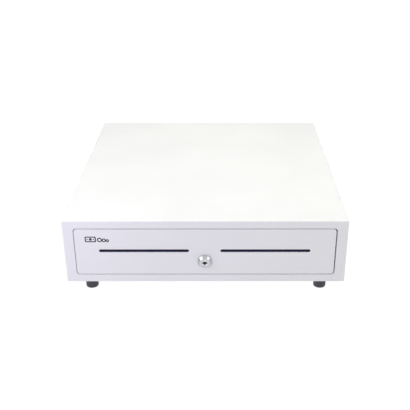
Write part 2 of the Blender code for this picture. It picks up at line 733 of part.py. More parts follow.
def latch():
    """The lever, drawn as it stands when it holds the striker and then swung clear of it."""
    pin = [
        (0, LATCH_HIGH + 1.8 * MM), (SHOULDER_RADIUS, LATCH_HIGH + 1.8 * MM),
        (SHOULDER_RADIUS, LATCH_HIGH + GAP), (AXLE_RADIUS, LATCH_HIGH + GAP),
        (AXLE_RADIUS, LATCH_LOW - GAP), (4 * MM, LATCH_LOW - GAP), (4 * MM, DECK_TOP + GAP),
        (0, DECK_TOP + GAP),
    ]
    turned("latch_pivot", pin, (LATCH_X, LATCH_Y, 0), (0, 0, 0), "zinc", 16)

    nose, nose_front, nose_back = -18 * MM, -26.5 * MM, -22.1 * MM
    tail = 6 * MM
    outline = arc((0, tail), LATCH_HALF, 0, 180, 8) + [
        (-LATCH_HALF, nose_back), (nose, nose_back), (nose, nose_front + 1.5 * MM),
        (nose + 1.5 * MM, nose_front), (LATCH_HALF - 2 * MM, nose_front),
        (LATCH_HALF, nose_front + 2 * MM),
    ]
    outlines = [outline, circle((0, 0), ROLLER_BORE, 16)]
    flat = prism("latch_lever", outlines, "XY", LATCH_LOW, LATCH_HIGH, "zinc")
    lever = as_mesh(flat, "zinc")
    link = cylinder("link_pin", 1.5 * MM, 5 * MM, (0, -LINK_REACH, 3.5 * MM), segments=12)
    join(lever, link, lever)
    low = (nose + 1 * MM, nose_front, -10 * MM)
    join(lever, box("release_tab", low, (nose + 5 * MM, nose_front + 3 * MM, -1 * MM)), lever)
    lever.location = (LATCH_X, LATCH_Y, SOLENOID_Z)
    lever.rotation_euler = (0, 0, LATCH_SWING)

    start = (17.2 * MM, LATCH_Y + 8.5 * MM, SOLENOID_Z)
    end = (46 * MM - 2 * MM - GAP, LATCH_Y + 8.5 * MM, SOLENOID_Z)
    coil("latch_spring", start, end, 2.4 * MM, 0.4 * MM, 8, "spring_steel")


def solenoid():
    left, right, wide = 36 * MM, 78 * MM, 9.5 * MM
    low, high, thick = DECK_TOP + GAP, 77 * MM, 1.5 * MM
    yoke = [
        (left, low), (right, low), (right, high), (right - thick, high),
        (right - thick, low + thick), (left + thick, low + thick), (left + thick, high), (left, high),
    ]
    front, rear = SOLENOID_Y - wide, SOLENOID_Y + wide
    frame = as_mesh(prism("solenoid_frame", [yoke], "XZ", front, rear, "zinc"), "zinc")
    cut(frame, cylinder("plunger_hole", 4.6 * MM, 6 * MM, (left, SOLENOID_Y, SOLENOID_Z), X_AXIS))

    half = (right - left) / 2 - thick - GAP
    cheek = half - 1.4 * MM
    bobbin, winding, bore = 9.3 * MM, 8.5 * MM, 4.4 * MM
    profile = [
        (bobbin, half), (bobbin, cheek), (winding, cheek), (winding, -cheek), (bobbin, -cheek),
        (bobbin, -half), (bore, -half), (bore, half),
    ]
    middle = ((left + right) / 2, SOLENOID_Y, SOLENOID_Z)
    turned("solenoid_coil", profile, middle, X_AXIS, "coil_tape", 24)

    pin_x = LATCH_X + LINK_REACH * sin(LATCH_SWING)
    near, far = 25 * MM, 66 * MM
    middle = ((near + far) / 2, SOLENOID_Y, SOLENOID_Z)
    plunger = cylinder("plunger", 4 * MM, far - near, middle, X_AXIS, "zinc", 20)
    level = LATCH_HIGH + 0.6 * MM
    corner = (pin_x - 6 * MM, SOLENOID_Y - 5 * MM, level)
    join(plunger, box("tongue", corner, (near + 3 * MM, SOLENOID_Y + 5 * MM, level + 1.5 * MM)))
    corner = (pin_x - 2 * MM, SOLENOID_Y - 2.7 * MM, level - 2 * MM)
    far_corner = (pin_x + 2.1 * MM, SOLENOID_Y + 2.7 * MM, level + 4 * MM)
    cut(plunger, box("tongue_slot", corner, far_corner))


def switch():
    """A switch that the latch presses, and its arm with the origin on its pivot."""
    low = (-22 * MM, LATCH_Y - 11 * MM, DECK_TOP + GAP)
    body = box("micro_switch", low, (0, LATCH_Y + 9 * MM, 70 * MM), "black_plastic")
    button = (1.5 * MM, LATCH_Y - 4 * MM, SOLENOID_Z)
    join(body, cylinder("switch_button", 1 * MM, 4 * MM, button, X_AXIS, segments=10))
    outline = belt((0, 0), 1.6 * MM, (9.9 * MM, -24.5 * MM), 1 * MM)
    arm = prism("switch_arm", [outline], "XY", -1 * MM, 1 * MM, "spring_steel")
    arm.location = (2 * MM, LATCH_Y + 11.5 * MM, SOLENOID_Z)


def ejectors():
    """Springs that push on the drawer's rear wall, each around a post on the rear panel."""
    root = PANEL - GAP
    profile = [(0, 35), (3.5, 35), (4.5, 34), (4.5, 1.3), (8.5, 1.3), (8.5, 0), (0, 0)]
    post = [(radius * MM, height * MM) for radius, height in profile]
    for side, sign in SIDES.items():
        x = sign * SPRING_X
        turned(f"spring_post_{side}", post, (x, root, SPRING_Z), FORWARD, "zinc", 18)
        start = (x, root - 1.3 * MM - GAP, SPRING_Z)
        end = (x, BOX_REAR + 2 * GAP, SPRING_Z)
        coil(f"eject_spring_{side}", start, end, 6.5 * MM, 0.7 * MM, 7, "spring_steel")


def inlet():
    """The socket for the till's lead, and the wires from it to the solenoid."""
    x_low, x_high, z_low, z_high = INLET
    front = PANEL - 11.5 * MM
    rear = PANEL_BACK + 1.5 * MM
    socket = box("inlet_jack", (x_low, front, z_low), (x_high, rear, z_high), "black_plastic")
    rim = 1 * MM
    low = (x_low - rim, PANEL_BACK + GAP, z_low - rim)
    join(socket, box("jack_rim", low, (x_high + rim, rear, z_high + rim)))
    low = (x_low + 2.2 * MM, front + 3 * MM, z_low + 3 * MM)
    high = (x_high - 2.2 * MM, rear + 3 * MM, z_high - 3.5 * MM)
    cut(socket, box("jack_cavity", low, high))

    x, z = (x_low + x_high) / 2, (z_low + z_high) / 2
    route = [
        (x, front - 2 * GAP, z),
        (x, front - 4 * MM, z),
        (x, front - 8 * MM, z - 1 * MM),
        (136 * MM, front - 14 * MM, 25 * MM),
        (118 * MM, front - 15 * MM, 23 * MM),
        (106 * MM, front - 16 * MM, 30 * MM),
        (101 * MM, front - 17 * MM, 50 * MM),
        (95 * MM, front - 18.5 * MM, 62 * MM),
        (86 * MM, SOLENOID_Y, SOLENOID_Z),
        (82 * MM, SOLENOID_Y, SOLENOID_Z),
        (78 * MM + 2 * GAP, SOLENOID_Y, SOLENOID_Z),
    ]
    wire("harness", smooth_route(route, 4), 1.5 * MM, "black_plastic")


case_shell()
base_plate()
rear_panel()
panel_screws()
feet()
rails()
rollers()
drawer_box()
drawer_front()
lock()
striker()
cash_tray()
coin_tray()
bill_dividers()
bill_clips()
mech_bracket()
latch()
solenoid()
switch()
ejectors()
inlet()
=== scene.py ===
"""The looks of a white sheet-metal cash drawer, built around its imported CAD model.

Metres, +Z up, the drawer's front towards -Y. Every piece takes its place from the CAD nodes'
boxes, rides on a CAD body and replaces the node or nodes that it stands for.
"""

from math import acos, atan2, cos, pi, radians, sin, tan

import bmesh
import bpy
from mathutils import Matrix, Vector
from mathutils.geometry import tessellate_polygon


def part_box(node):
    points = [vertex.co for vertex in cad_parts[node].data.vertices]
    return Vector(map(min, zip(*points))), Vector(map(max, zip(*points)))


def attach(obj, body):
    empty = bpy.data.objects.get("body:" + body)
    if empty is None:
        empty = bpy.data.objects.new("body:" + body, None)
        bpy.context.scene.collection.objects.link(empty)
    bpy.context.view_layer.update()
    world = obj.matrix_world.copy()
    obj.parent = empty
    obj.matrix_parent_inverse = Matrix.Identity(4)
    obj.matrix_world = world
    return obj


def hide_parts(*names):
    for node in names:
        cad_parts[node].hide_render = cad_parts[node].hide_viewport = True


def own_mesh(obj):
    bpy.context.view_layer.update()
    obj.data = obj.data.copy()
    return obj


MM = 0.001
GAP = 0.3 * MM  # left between pieces that would touch
SHEET = 1.2 * MM  # thickness of the case's and drawer's steel
BEND = 2.4 * MM  # outside radius of the case's folds
EDGE = 0.25 * MM  # rounding of a cut sheet's edge
FRONT_GAP_SIDE = 0.75 * MM  # mean of the gaps left and right of the drawer's front
FRONT_GAP_LEVEL = 0.5 * MM  # gap above and below it
OPENING_EXTRA = (0.7 * MM, 0.5 * MM)  # width and height added to the opening, to show the gap
FRONT_TRIM = (0.4 * MM, 0.5 * MM)  # width and height taken off the drawer's front, as well
OPENING_RADIUS = 5 * MM
FRONT_RADIUS = 4.5 * MM
SLOT_LENGTH = 130.4 * MM
SLOT_HEIGHT = 4.5 * MM
SLOT_EXTRA = 0.3 * MM  # height added to a slot, to show it
SLOT_X = 87.8 * MM
SLOT_SHIFT = -1 * MM  # of the pair of slots, to the left
SLOT_Z = 65.6 * MM
LOCK_HOLE = 9.5 * MM  # radius
SCREW_HOLE = 1.8 * MM
FOOT_HOLE = 2.2 * MM
PIVOT_BORE = 2.3 * MM
TRAY_WALL = 2 * MM
LEVER_LEVEL = 66 * MM  # middle of the latch lever
LATCH_TURN = radians(18)
BADGE = (-165 * MM, 84.5 * MM)  # x and z of the banknote's middle
SIDES = {"left": -1, "right": 1}
SPOTS = [(end, side) for end in ("front", "rear") for side in SIDES]
PANEL_SCREWS = [f"panel_screw_{level}_{side}" for level in ("lower", "upper") for side in SIDES]
RIGHT, BACKWARD, UP = (1, 0, 0), (0, 1, 0), (0, 0, 1)

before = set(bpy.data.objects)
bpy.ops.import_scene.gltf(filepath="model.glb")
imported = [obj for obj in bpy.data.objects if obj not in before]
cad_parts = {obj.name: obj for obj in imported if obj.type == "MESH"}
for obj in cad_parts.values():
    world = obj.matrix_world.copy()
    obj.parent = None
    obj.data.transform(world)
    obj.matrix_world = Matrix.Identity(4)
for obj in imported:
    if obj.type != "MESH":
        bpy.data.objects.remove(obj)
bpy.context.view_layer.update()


# --- materials

def node(tree, kind, **values):
    """A new node, with its sockets set by name, where _ stands for a space."""
    made = tree.nodes.new(kind)
    for key, value in values.items():
        if hasattr(made, key):
            setattr(made, key, value)
        else:
            made.inputs[key.replace("_", " ")].default_value = value
    return made


def ramp(tree, factor, low, high, start=0.35, end=0.65):
    """A colour that goes from low to high while factor goes from start to end."""
    made = tree.nodes.new("ShaderNodeValToRGB")
    stops = made.color_ramp.elements
    stops[0].position, stops[1].position = start, end
    stops[0].color, stops[1].color = (*low, 1), (*high, 1)
    tree.links.new(factor, made.inputs["Fac"])
    return made.outputs["Color"]


def surface(name, low, high, roughness, metallic, patch, grain, relief, stretch=(1, 1, 1)):
    """A finish whose colour and roughness drift in patches and whose relief is a fine grain.
    patch and grain are in noise cells per metre, relief in millimetres."""
    made = bpy.data.materials.new(name)
    made.use_nodes = True
    tree = made.node_tree
    link = tree.links.new
    skin = tree.nodes["Principled BSDF"]
    skin.inputs["Metallic"].default_value = metallic
    place = tree.nodes.new("ShaderNodeTexCoord")
    mapping = node(tree, "ShaderNodeMapping", Scale=stretch)
    link(place.outputs["Object"], mapping.inputs["Vector"])
    broad = node(tree, "ShaderNodeTexNoise", Scale=patch, Detail=3.0)
    fine = node(tree, "ShaderNodeTexNoise", Scale=grain, Detail=4.0, Roughness=0.55)
    for noise in (broad, fine):
        link(mapping.outputs["Vector"], noise.inputs["Vector"])
    link(ramp(tree, broad.outputs["Fac"], low, high), skin.inputs["Base Color"])
    mix = node(tree, "ShaderNodeMix", data_type="FLOAT")
    mix.inputs["Factor"].default_value = 0.6
    link(broad.outputs["Fac"], mix.inputs["A"])
    link(fine.outputs["Fac"], mix.inputs["B"])
    spread = node(tree, "ShaderNodeMapRange", From_Min=0.3, From_Max=0.7)
    spread.inputs["To Min"].default_value, spread.inputs["To Max"].default_value = roughness
    link(mix.outputs["Result"], spread.inputs["Value"])
    link(spread.outputs["Result"], skin.inputs["Roughness"])
    bump = node(tree, "ShaderNodeBump", Strength=0.35, Distance=relief * MM)
    link(fine.outputs["Fac"], bump.inputs["Height"])
    link(bump.outputs["Normal"], skin.inputs["Normal"])
    return made


FINISHES = {
    name: surface(name, *values)
    for name, *values in (
        # name, colours, roughness, metallic, patch, grain, relief, stretch
        ("powder_coat", (0.815, 0.81, 0.825), (0.84, 0.835, 0.85), (0.40, 0.50), 0,
         9, 700, 0.03),
        ("zinc_plate", (0.56, 0.57, 0.59), (0.68, 0.69, 0.70), (0.24, 0.42), 1,
         160, 900, 0.01, (1, 0.15, 1)),
        ("spring_steel", (0.36, 0.37, 0.39), (0.48, 0.48, 0.50), (0.22, 0.38), 1,
         300, 2500, 0.008),
        ("lock_chrome", (0.57, 0.58, 0.61), (0.63, 0.64, 0.66), (0.08, 0.15), 1,
         120, 1500, 0.004),
        ("lock_brass", (0.66, 0.49, 0.22), (0.76, 0.60, 0.31), (0.20, 0.36), 1,
         200, 1600, 0.01),
        ("foot_rubber", (0.030, 0.031, 0.044), (0.050, 0.051, 0.068), (0.45, 0.65), 0,
         120, 1800, 0.05),
        ("black_plastic", (0.020, 0.020, 0.023), (0.030, 0.030, 0.034), (0.36, 0.52), 0,
         60, 1500, 0.03),
        # slot guides' plastic: a dark plastic whose navy tone is partly painted shade, for the
        # shadowed inside of the slots
        ("slot_plastic_and_shade", (0.10, 0.115, 0.20), (0.12, 0.14, 0.24), (0.45, 0.6), 0,
         60, 1500, 0.02),
        ("roller_plastic", (0.72, 0.72, 0.68), (0.79, 0.79, 0.76), (0.30, 0.42), 0,
         150, 1500, 0.01),
        ("coil_tape", (0.50, 0.24, 0.06), (0.62, 0.33, 0.10), (0.25, 0.4), 0,
         150, 900, 0.05),
    )
}


# --- making pieces

def linked(name, data):
    made = bpy.data.objects.new(name, data)
    bpy.context.scene.collection.objects.link(made)
    return made


def mesh_from(name, bm):
    mesh = bpy.data.meshes.new(name)
    bm.to_mesh(mesh)
    bm.free()
    return mesh


def baked(made):
    """made with its modifiers or curve settings worked into a plain mesh, in world space."""
    bpy.context.view_layer.update()
    evaluated = made.evaluated_get(bpy.context.evaluated_depsgraph_get())
    mesh = bpy.data.meshes.new_from_object(evaluated)
    mesh.transform(made.matrix_world)
    name = made.name
    bpy.data.objects.remove(made, do_unlink=True)
    bm = bmesh.new()
    bm.from_mesh(mesh)
    bmesh.ops.remove_doubles(bm, verts=bm.verts, dist=0.002 * MM)
    bm.to_mesh(mesh)
    bm.free()
    return linked(name, mesh)


def put(made, body, slot, *nodes, sharp=35, finish=None):
    """Shades a piece, gives it its finish and puts it on its body in place of CAD nodes."""
    made.data.shade_smooth()
    made.data.set_sharp_from_angle(angle=radians(sharp))
    even = made.modifiers.new("Even", "WEIGHTED_NORMAL")
    even.keep_sharp = True
    made.data.materials.clear()
    made.data.materials.append(FINISHES[finish or slot])
    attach(made, body)
    if nodes:
        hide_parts(*nodes)
    return made


def filleted(points, radius, closed=True, steps=5):
    """Rounds the corners of a path. A point's third number is that corner's own radius."""
    path = []
    count = len(points)
    for i, point in enumerate(points):
        here = Vector(point[:2])
        own = point[2] if len(point) > 2 else radius
        if own == 0 or (not closed and i in (0, count - 1)):
            path.append(here)
            continue
        before = Vector(points[i - 1][:2]) - here
        after = Vector(points[(i + 1) % count][:2]) - here
        half = before.angle(after) / 2
        if half > pi / 2 - 0.02:
            path.append(here)
            continue
        reach = min(own / tan(half), 0.49 * before.length, 0.49 * after.length)
        own = reach * tan(half)
        centre = here + (before.normalized() + after.normalized()).normalized() * own / sin(half)
        first = here + before.normalized() * reach - centre
        last = here + after.normalized() * reach - centre
        start = atan2(first.y, first.x)
        turn = (atan2(last.y, last.x) - start + pi) % (2 * pi) - pi
        for k in range(steps + 1):
            angle = start + turn * k / steps
            path.append(centre + Vector((cos(angle), sin(angle))) * own)
    return path


def ring(centre, radius, steps=48, start=0, end=360):
    """A circle, or its part between two angles in degrees."""
    whole = end - start == 360
    angles = [radians(start + (end - start) * i / steps) for i in range(steps + (not whole))]
    return [Vector((centre[0] + radius * cos(a), centre[1] + radius * sin(a))) for a in angles]


def oblong(centre, width, height, radius, steps=10):
    """A rectangle with rounded corners."""
    x, y = width / 2, height / 2
    corners = [(x, y), (-x, y), (-x, -y), (x, -y)]
    return filleted([(centre[0] + u, centre[1] + v) for u, v in corners], radius, steps=steps)


def sideways(before, here, after):
    """The direction that moves a corner to its path's left, at unit distance from both sides."""
    ways = [(b - a).normalized() for a, b in ((before, here), (here, after)) if (b - a).length > 0]
    lefts = [Vector((-way.y, way.x)) for way in ways]
    middle = sum(lefts, Vector((0, 0))).normalized()
    return middle / max(middle.dot(lefts[0]), 0.3)


def inset(outline, distance):
    """The outline moved to its left, which is inwards if it runs anticlockwise."""
    neighbours = zip(outline[-1:] + outline[:-1], outline, outline[1:] + outline[:1])
    return [here + sideways(a, here, b) * distance for a, here, b in neighbours]


def ribbon(points, thickness, radius, steps=6):
    """The outline of a folded sheet whose one side follows points and whose other side lies to
    their left. radius is the outside radius of its folds."""
    points = [Vector(p) for p in points]
    padded = [points[0], *points, points[-1]]
    near, far = [], []
    for before, here, after in zip(padded, padded[1:], padded[2:]):
        turn = (here - before).cross(after - here)
        inner = max(radius - thickness, 0.2 * MM)
        here_radius, there_radius = (radius, inner) if turn > 0 else (inner, radius)
        there = here + sideways(before, here, after) * thickness
        at_end = before == here or here == after
        near.append((*here, 0 if at_end else here_radius))
        far.append((*there, 0 if at_end else there_radius))
    return filleted(near + far[::-1], 0, steps=steps)


AXES = {"XY": (0, 1, 2), "XZ": (0, 2, 1), "YZ": (1, 2, 0)}


def in_space(plane, u, v, along):
    """A place from its two coordinates in a plane and its distance along the normal."""
    place = Vector((0, 0, 0))
    for axis, value in zip(AXES[plane], (u, v, along)):
        place[axis] = value
    return place


def signed_area(outline):
    return sum(a.cross(b) for a, b in zip(outline, outline[1:] + outline[:1])) / 2


def face_outwards(bm):
    bmesh.ops.recalc_face_normals(bm, faces=bm.faces)
    if bm.calc_volume(signed=True) < 0:
        bmesh.ops.reverse_faces(bm, faces=bm.faces)


def plate(name, outlines, plane, low, high, edge=EDGE, rounds=3):
    """Flat outlines, the first the outside and the rest holes, pushed out between two places
    along the plane's normal, with rounded edges."""
    outlines = [[Vector(p[:2]) for p in outline] for outline in outlines]
    for i, outline in enumerate(outlines):
        if (signed_area(outline) > 0) != (i == 0):
            outline.reverse()
    turns = [pi / 2 * k / rounds for k in range(rounds + 1)]
    levels = [(edge * (1 - sin(t)), low + edge * (1 - cos(t))) for t in turns]
    levels += [(edge * (1 - sin(t)), high - edge * (1 - cos(t))) for t in reversed(turns)]
    bm = bmesh.new()
    caps = [[], []]
    for outline in outlines:
        loops = []
        for distance, along in levels:
            flat = inset(outline, distance)
            loops.append([bm.verts.new(in_space(plane, p.x, p.y, along)) for p in flat])
        for one, other in zip(loops, loops[1:]):
            for i in range(len(one)):
                bm.faces.new((one[i - 1], one[i], other[i], other[i - 1]))
        caps[0].append(loops[0])
        caps[1].append(loops[-1])
    for loops in caps:
        verts = [vert for loop in loops for vert in loop]
        for triangle in tessellate_polygon([[vert.co for vert in loop] for loop in loops]):
            bm.faces.new([verts[i] for i in triangle])
    face_outwards(bm)
    return linked(name, mesh_from(name, bm))


def turned(name, profile, origin, axis, steps, hollow=False):
    """A profile of (radius, height) turned about an axis through origin. A hollow one closes
    on itself; any other starts and ends on the axis."""
    axis = Vector(axis)
    side = axis.orthogonal().normalized()
    up = axis.cross(side)
    bm = bmesh.new()
    rows = []
    for radius, height in profile:
        middle = Vector(origin) + axis * height
        if radius == 0:
            rows.append([bm.verts.new(middle)] * steps)
            continue
        angles = (2 * pi * k / steps for k in range(steps))
        rows.append([
            bm.verts.new(middle + radius * (side * cos(a) + up * sin(a))) for a in angles
        ])
    pairs = list(zip(rows, rows[1:]))
    if hollow:
        pairs.append((rows[-1], rows[0]))
    for one, other in pairs:
        for k in range(steps):
            corners = (one[k - 1], one[k], other[k], other[k - 1])
            unique = list(dict.fromkeys(corners))
            if len(unique) > 2:
                bm.faces.new(unique)
    face_outwards(bm)
    return linked(name, mesh_from(name, bm))


def lathed(name, profile, origin, axis, steps):
    """A turned solid whose profile's points may have a third number, their corner's radius."""
    return turned(name, filleted(profile, 0, closed=False), origin, axis, steps)


def pin(name, radius, ends, eases, place, axis, steps):
    """A round pin between two heights, with a rounding at either end."""
    (low, high), (first, last) = ends, eases
    profile = [(0, low), (radius, low, first), (radius, high, last), (0, high)]
    return lathed(name, profile, place, axis, steps)


def drill(name, radius, place, axis, steps=24):
    """A cutter for a round hole through a sheet at place."""
    return pin(name, radius, (-4 * MM, 4 * MM), (0, 0), place, axis, steps)


def thread(first, second, start, pitch, turns):
    """The part of a profile that goes to and fro between two radii."""
    heights = [start + pitch * i for i in range(turns)]
    return [point for h in heights for point in ((first, h), (second, h + pitch / 2))]


def block(name, low, high, open_sides=()):
    """A box without the faces that look towards open_sides."""
    low, high = Vector(low), Vector(high)
    bm = bmesh.new()
    bmesh.ops.create_cube(bm, size=1.0)
    bmesh.ops.scale(bm, vec=high - low, verts=bm.verts)
    bmesh.ops.translate(bm, vec=(low + high) / 2, verts=bm.verts)
    bm.normal_update()
    away = [f for f in bm.faces if any(f.normal.dot(Vector(s)) > 0.9 for s in open_sides)]
    bmesh.ops.delete(bm, geom=away, context="FACES_ONLY")
    return linked(name, mesh_from(name, bm))


def softened(made, width, segments=3):
    """The piece with its sharp edges rounded."""
    bevel = made.modifiers.new("Edges", "BEVEL")
    bevel.width = width
    bevel.segments = segments
    bevel.limit_method = "ANGLE"
    bevel.angle_limit = radians(40)
    return baked(made)


def tub(name, low, high, open_sides, fold, thickness, segments=6):
    """A folded sheet-metal box that is open on the listed sides."""
    made = block(name, low, high, open_sides)
    bevel = made.modifiers.new("Folds", "BEVEL")
    bevel.width = fold
    bevel.segments = segments
    bevel.limit_method = "ANGLE"
    sheet = made.modifiers.new("Sheet", "SOLIDIFY")
    sheet.thickness = thickness
    sheet.offset = -1
    sheet.use_even_offset = True
    return baked(made)


def combined(made, operation, *tools):
    """Works the tools into the piece one after the other, and removes them."""
    for tool in tools:
        modifier = made.modifiers.new("Shape", "BOOLEAN")
        modifier.operation = operation
        modifier.object = tool
        made = baked(made)
        bpy.data.objects.remove(tool, do_unlink=True)
    return made


def cut(made, *tools):
    return combined(made, "DIFFERENCE", *tools)


def join(made, *tools):
    return combined(made, "UNION", *tools)


def rounded_where(made, chosen, width, segments):
    """Rounds the sharp edges whose two ends are both chosen."""
    bm = bmesh.new()
    bm.from_mesh(made.data)
    edges = [
        e for e in bm.edges
        if all(chosen(v.co) for v in e.verts) and e.is_manifold and e.calc_face_angle(0) > 0.9
    ]
    bmesh.ops.bevel(
        bm, geom=edges, offset=width, segments=segments, profile=0.5, affect="EDGES"
    )
    bm.to_mesh(made.data)
    bm.free()
    return made


def corners(name):
    """The lowest, highest and middle point of a CAD node's box."""
    low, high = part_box(name)
    return low, high, (low + high) / 2


# --- the case

def case_cover():
    """Top, sides and front frame, a return round the opening, and the flange at the rear."""
    low, high, _ = corners("case_shell")
    front_low, front_high, front_middle = corners("drawer_front")
    cover = tub("case_cover", low, high, ((0, 0, -1), BACKWARD), BEND, SHEET, 8)
    width = front_high.x - front_low.x + 2 * FRONT_GAP_SIDE + OPENING_EXTRA[0]
    height = front_high.z - front_low.z + 2 * FRONT_GAP_LEVEL + OPENING_EXTRA[1]
    centre = (0, front_middle.z)
    return_end = low.y + 8 * MM
    outside = oblong(centre, width + 2 * SHEET, height + 2 * SHEET, OPENING_RADIUS + SHEET)
    collar = plate("front_return", [outside], "XZ", low.y + SHEET / 2, return_end, 0.2 * MM)
    hole = oblong(centre, width, height, OPENING_RADIUS)
    opening = plate("opening", [hole], "XZ", low.y - 5 * MM, low.y + 20 * MM, 0)

    def at_opening(place):
        reach = 0.4 * MM
        return (
            abs(place.y - low.y) < 0.1 * MM
            and abs(place.x) < width / 2 + reach
            and abs(place.z - front_middle.z) < height / 2 + reach
        )

    cover = rounded_where(cut(join(cover, collar), opening), at_opening, 0.3 * MM, 3)
    flange_back = corners("rear_panel")[0].y - GAP
    outer, inner = high.x - SHEET + 0.4 * MM, high.x - SHEET - 10 * MM
    bottom, top = low.z + SHEET + GAP, high.z - SHEET + 0.4 * MM
    arch = [
        (-outer, bottom), (-inner, bottom), (-inner, top - 10 * MM), (inner, top - 10 * MM),
        (inner, bottom), (outer, bottom), (outer, top), (-outer, top),
    ]
    flange = plate("rear_flange", [arch], "XZ", flange_back - SHEET, flange_back, 0.1 * MM)
    holes = [
        drill(f"hole_{i}", SCREW_HOLE, (x, flange_back, z), BACKWARD)
        for i, (x, z) in enumerate(panel_screw_places())
    ]
    cover = cut(join(cover, flange), *holes)
    put(softened(cover, 0.2 * MM, 2), "cabinet", "powder_coat", "case_shell")


def panel_screw_places():
    """x and z of the rear panel's screws."""
    return [(middle.x, middle.z) for _, _, middle in map(corners, PANEL_SCREWS)]


def base_pan():
    """The base with its side lips, which end short of the rear panel, and four vents."""
    low, high, _ = corners("base_plate")
    lip = 9.999 * MM
    profile = [
        (low.x, low.z + lip), (low.x, low.z), (high.x, low.z), (high.x, low.z + lip),
    ]
    fold = 1.8 * MM
    pan = plate("base_pan", [ribbon(profile, SHEET, fold)], "XZ", low.y, high.y)
    tools = []
    for side, sign in SIDES.items():
        x = sorted((sign * (high.x + 3 * MM), sign * (high.x - 4 * MM)))
        near = (x[0], corners("rear_panel")[0].y - 3 * MM, low.z + fold)
        tools.append(block(f"lip_end_{side}", near, (x[1], high.y + 5 * MM, low.z + 20 * MM)))
    for end, side in SPOTS:
        middle = corners(f"foot_{end}_{side}")[2]
        place = (middle.x, middle.y, low.z)
        tools.append(drill(f"foot_hole_{end}_{side}", FOOT_HOLE, place, UP))
    for i in (-3, -2, 2, 3):
        vent = oblong((i * 42 * MM, 60 * MM), 5 * MM, 34 * MM, 2.45 * MM)
        tools.append(plate(f"vent_{i}", [vent], "XY", low.z - 3 * MM, low.z + 5 * MM, 0))
    put(cut(pan, *tools), "cabinet", "powder_coat", "base_plate")


def back_panel():
    low, high, middle = corners("rear_panel")
    holes = [ring(place, SCREW_HOLE, 32) for place in panel_screw_places()]
    jack_low, jack_high, _ = corners("inlet_jack")
    rim = 1 * MM - GAP
    jack = ((jack_low.x + jack_high.x) / 2, (jack_low.z + jack_high.z) / 2)
    span = (jack_high.x - jack_low.x - 2 * rim, jack_high.z - jack_low.z - 2 * rim)
    holes.append(oblong(jack, *span, 0.3 * MM, 2))
    outline = oblong((middle.x, middle.z), high.x - low.x, high.z - low.z, 1.5 * MM)
    panel = plate("back_panel", [outline, *holes], "XZ", low.y, high.y)
    put(panel, "cabinet", "powder_coat", "rear_panel")


def cross_recess(name, centre, axis, size, depth):
    """A cutter for the cross in a screw's head, tapering as it goes in along -axis."""
    axis = Vector(axis)
    side = axis.orthogonal().normalized()
    up = axis.cross(side)
    arm, half = size / 2, size * 0.13
    star = []
    for quarter in range(4):
        for u, v in ((arm, -half), (arm, half), (half, half)):
            for _ in range(quarter):
                u, v = -v, u
            star.append((u, v))
    bm = bmesh.new()
    loops = []
    for scale, height in ((1.25, 0.6 * MM), (1.0, 0), (0.45, -depth)):
        middle = Vector(centre) + axis * height
        loops.append([bm.verts.new(middle + (side * u + up * v) * scale) for u, v in star])
    bm.faces.new(loops[0])
    bm.faces.new(loops[-1])
    for one, other in zip(loops, loops[1:]):
        for i in range(len(one)):
            bm.faces.new((one[i - 1], one[i], other[i], other[i - 1]))
    face_outwards(bm)
    return linked(name, mesh_from(name, bm))


def panel_screws():
    for node_name in PANEL_SCREWS:
        low, high, middle = corners(node_name)
        radius, rise = 3 * MM, 2 * MM
        head = high.y - rise
        dome = [(radius * sin(t), rise * cos(t)) for t in (i * pi / 20 for i in range(10))]
        ridges = thread(1.45 * MM, 1.15 * MM, -0.5 * MM, -0.7 * MM, 9)
        profile = [*dome, (radius, 0), (1.4 * MM, 0), *ridges, (0, low.y - head)]
        screw = turned(f"{node_name}_fine", profile, (middle.x, head, middle.z), BACKWARD, 40)
        tip = (middle.x, high.y, middle.z)
        recess = cross_recess(f"{node_name}_cross", tip, BACKWARD, 3.4 * MM, 1.5 * MM)
        put(cut(screw, recess), "cabinet", "zinc_plate", node_name)


def feet():
    """Hollow rubber feet, and the screw in each, whose head lies below the foot's roof."""
    recess, roof, hole = 5.2 * MM, 4.5 * MM, FOOT_HOLE
    for end, side in SPOTS:
        node_name = f"foot_{end}_{side}"
        low, high, middle = corners(node_name)
        radius, top = (high.x - low.x) / 2, high.z
        profile = [
            (radius - 0.1 * MM, top, 0.5 * MM), (radius, 2.5 * MM, 2 * MM),
            (radius - 0.3 * MM, 0, 0.7 * MM), (recess, 0, 0.5 * MM),
            (recess, roof, 0.4 * MM), (hole, roof, 0.2 * MM), (hole, top, 0.2 * MM),
        ]
        path = filleted(profile, 0, steps=6)
        place = (middle.x, middle.y, 0)
        foot = turned(f"{node_name}_moulded", path, place, UP, 72, hollow=True)
        put(foot, "cabinet", "foot_rubber", node_name)

        node_name = f"foot_screw_{end}_{side}"
        low, high, middle = corners(node_name)
        head, bottom = (high.x - low.x) / 2, low.z
        profile = [
            (0, bottom), (head - 1.4 * MM, bottom), (head - 0.5 * MM, bottom + 0.4 * MM),
            (head, bottom + 1.1 * MM), (head, roof - GAP), (1.6 * MM, roof - GAP),
            *thread(1.5 * MM, 1.8 * MM, roof + 1.2 * MM, 1.1 * MM, 12),
            (1.2 * MM, high.z), (0, high.z),
        ]
        screw = turned(f"{node_name}_fine", profile, (middle.x, middle.y, 0), UP, 40)
        tip = (middle.x, middle.y, bottom)
        cross = cross_recess(f"{node_name}_cross", tip, (0, 0, -1), 4.4 * MM, 1.6 * MM)
        put(cut(screw, cross), "cabinet", "zinc_plate", node_name)


# --- the drawer's front

def lock_centre():
    _, _, middle = corners("lock_plug")
    return middle.x, middle.z


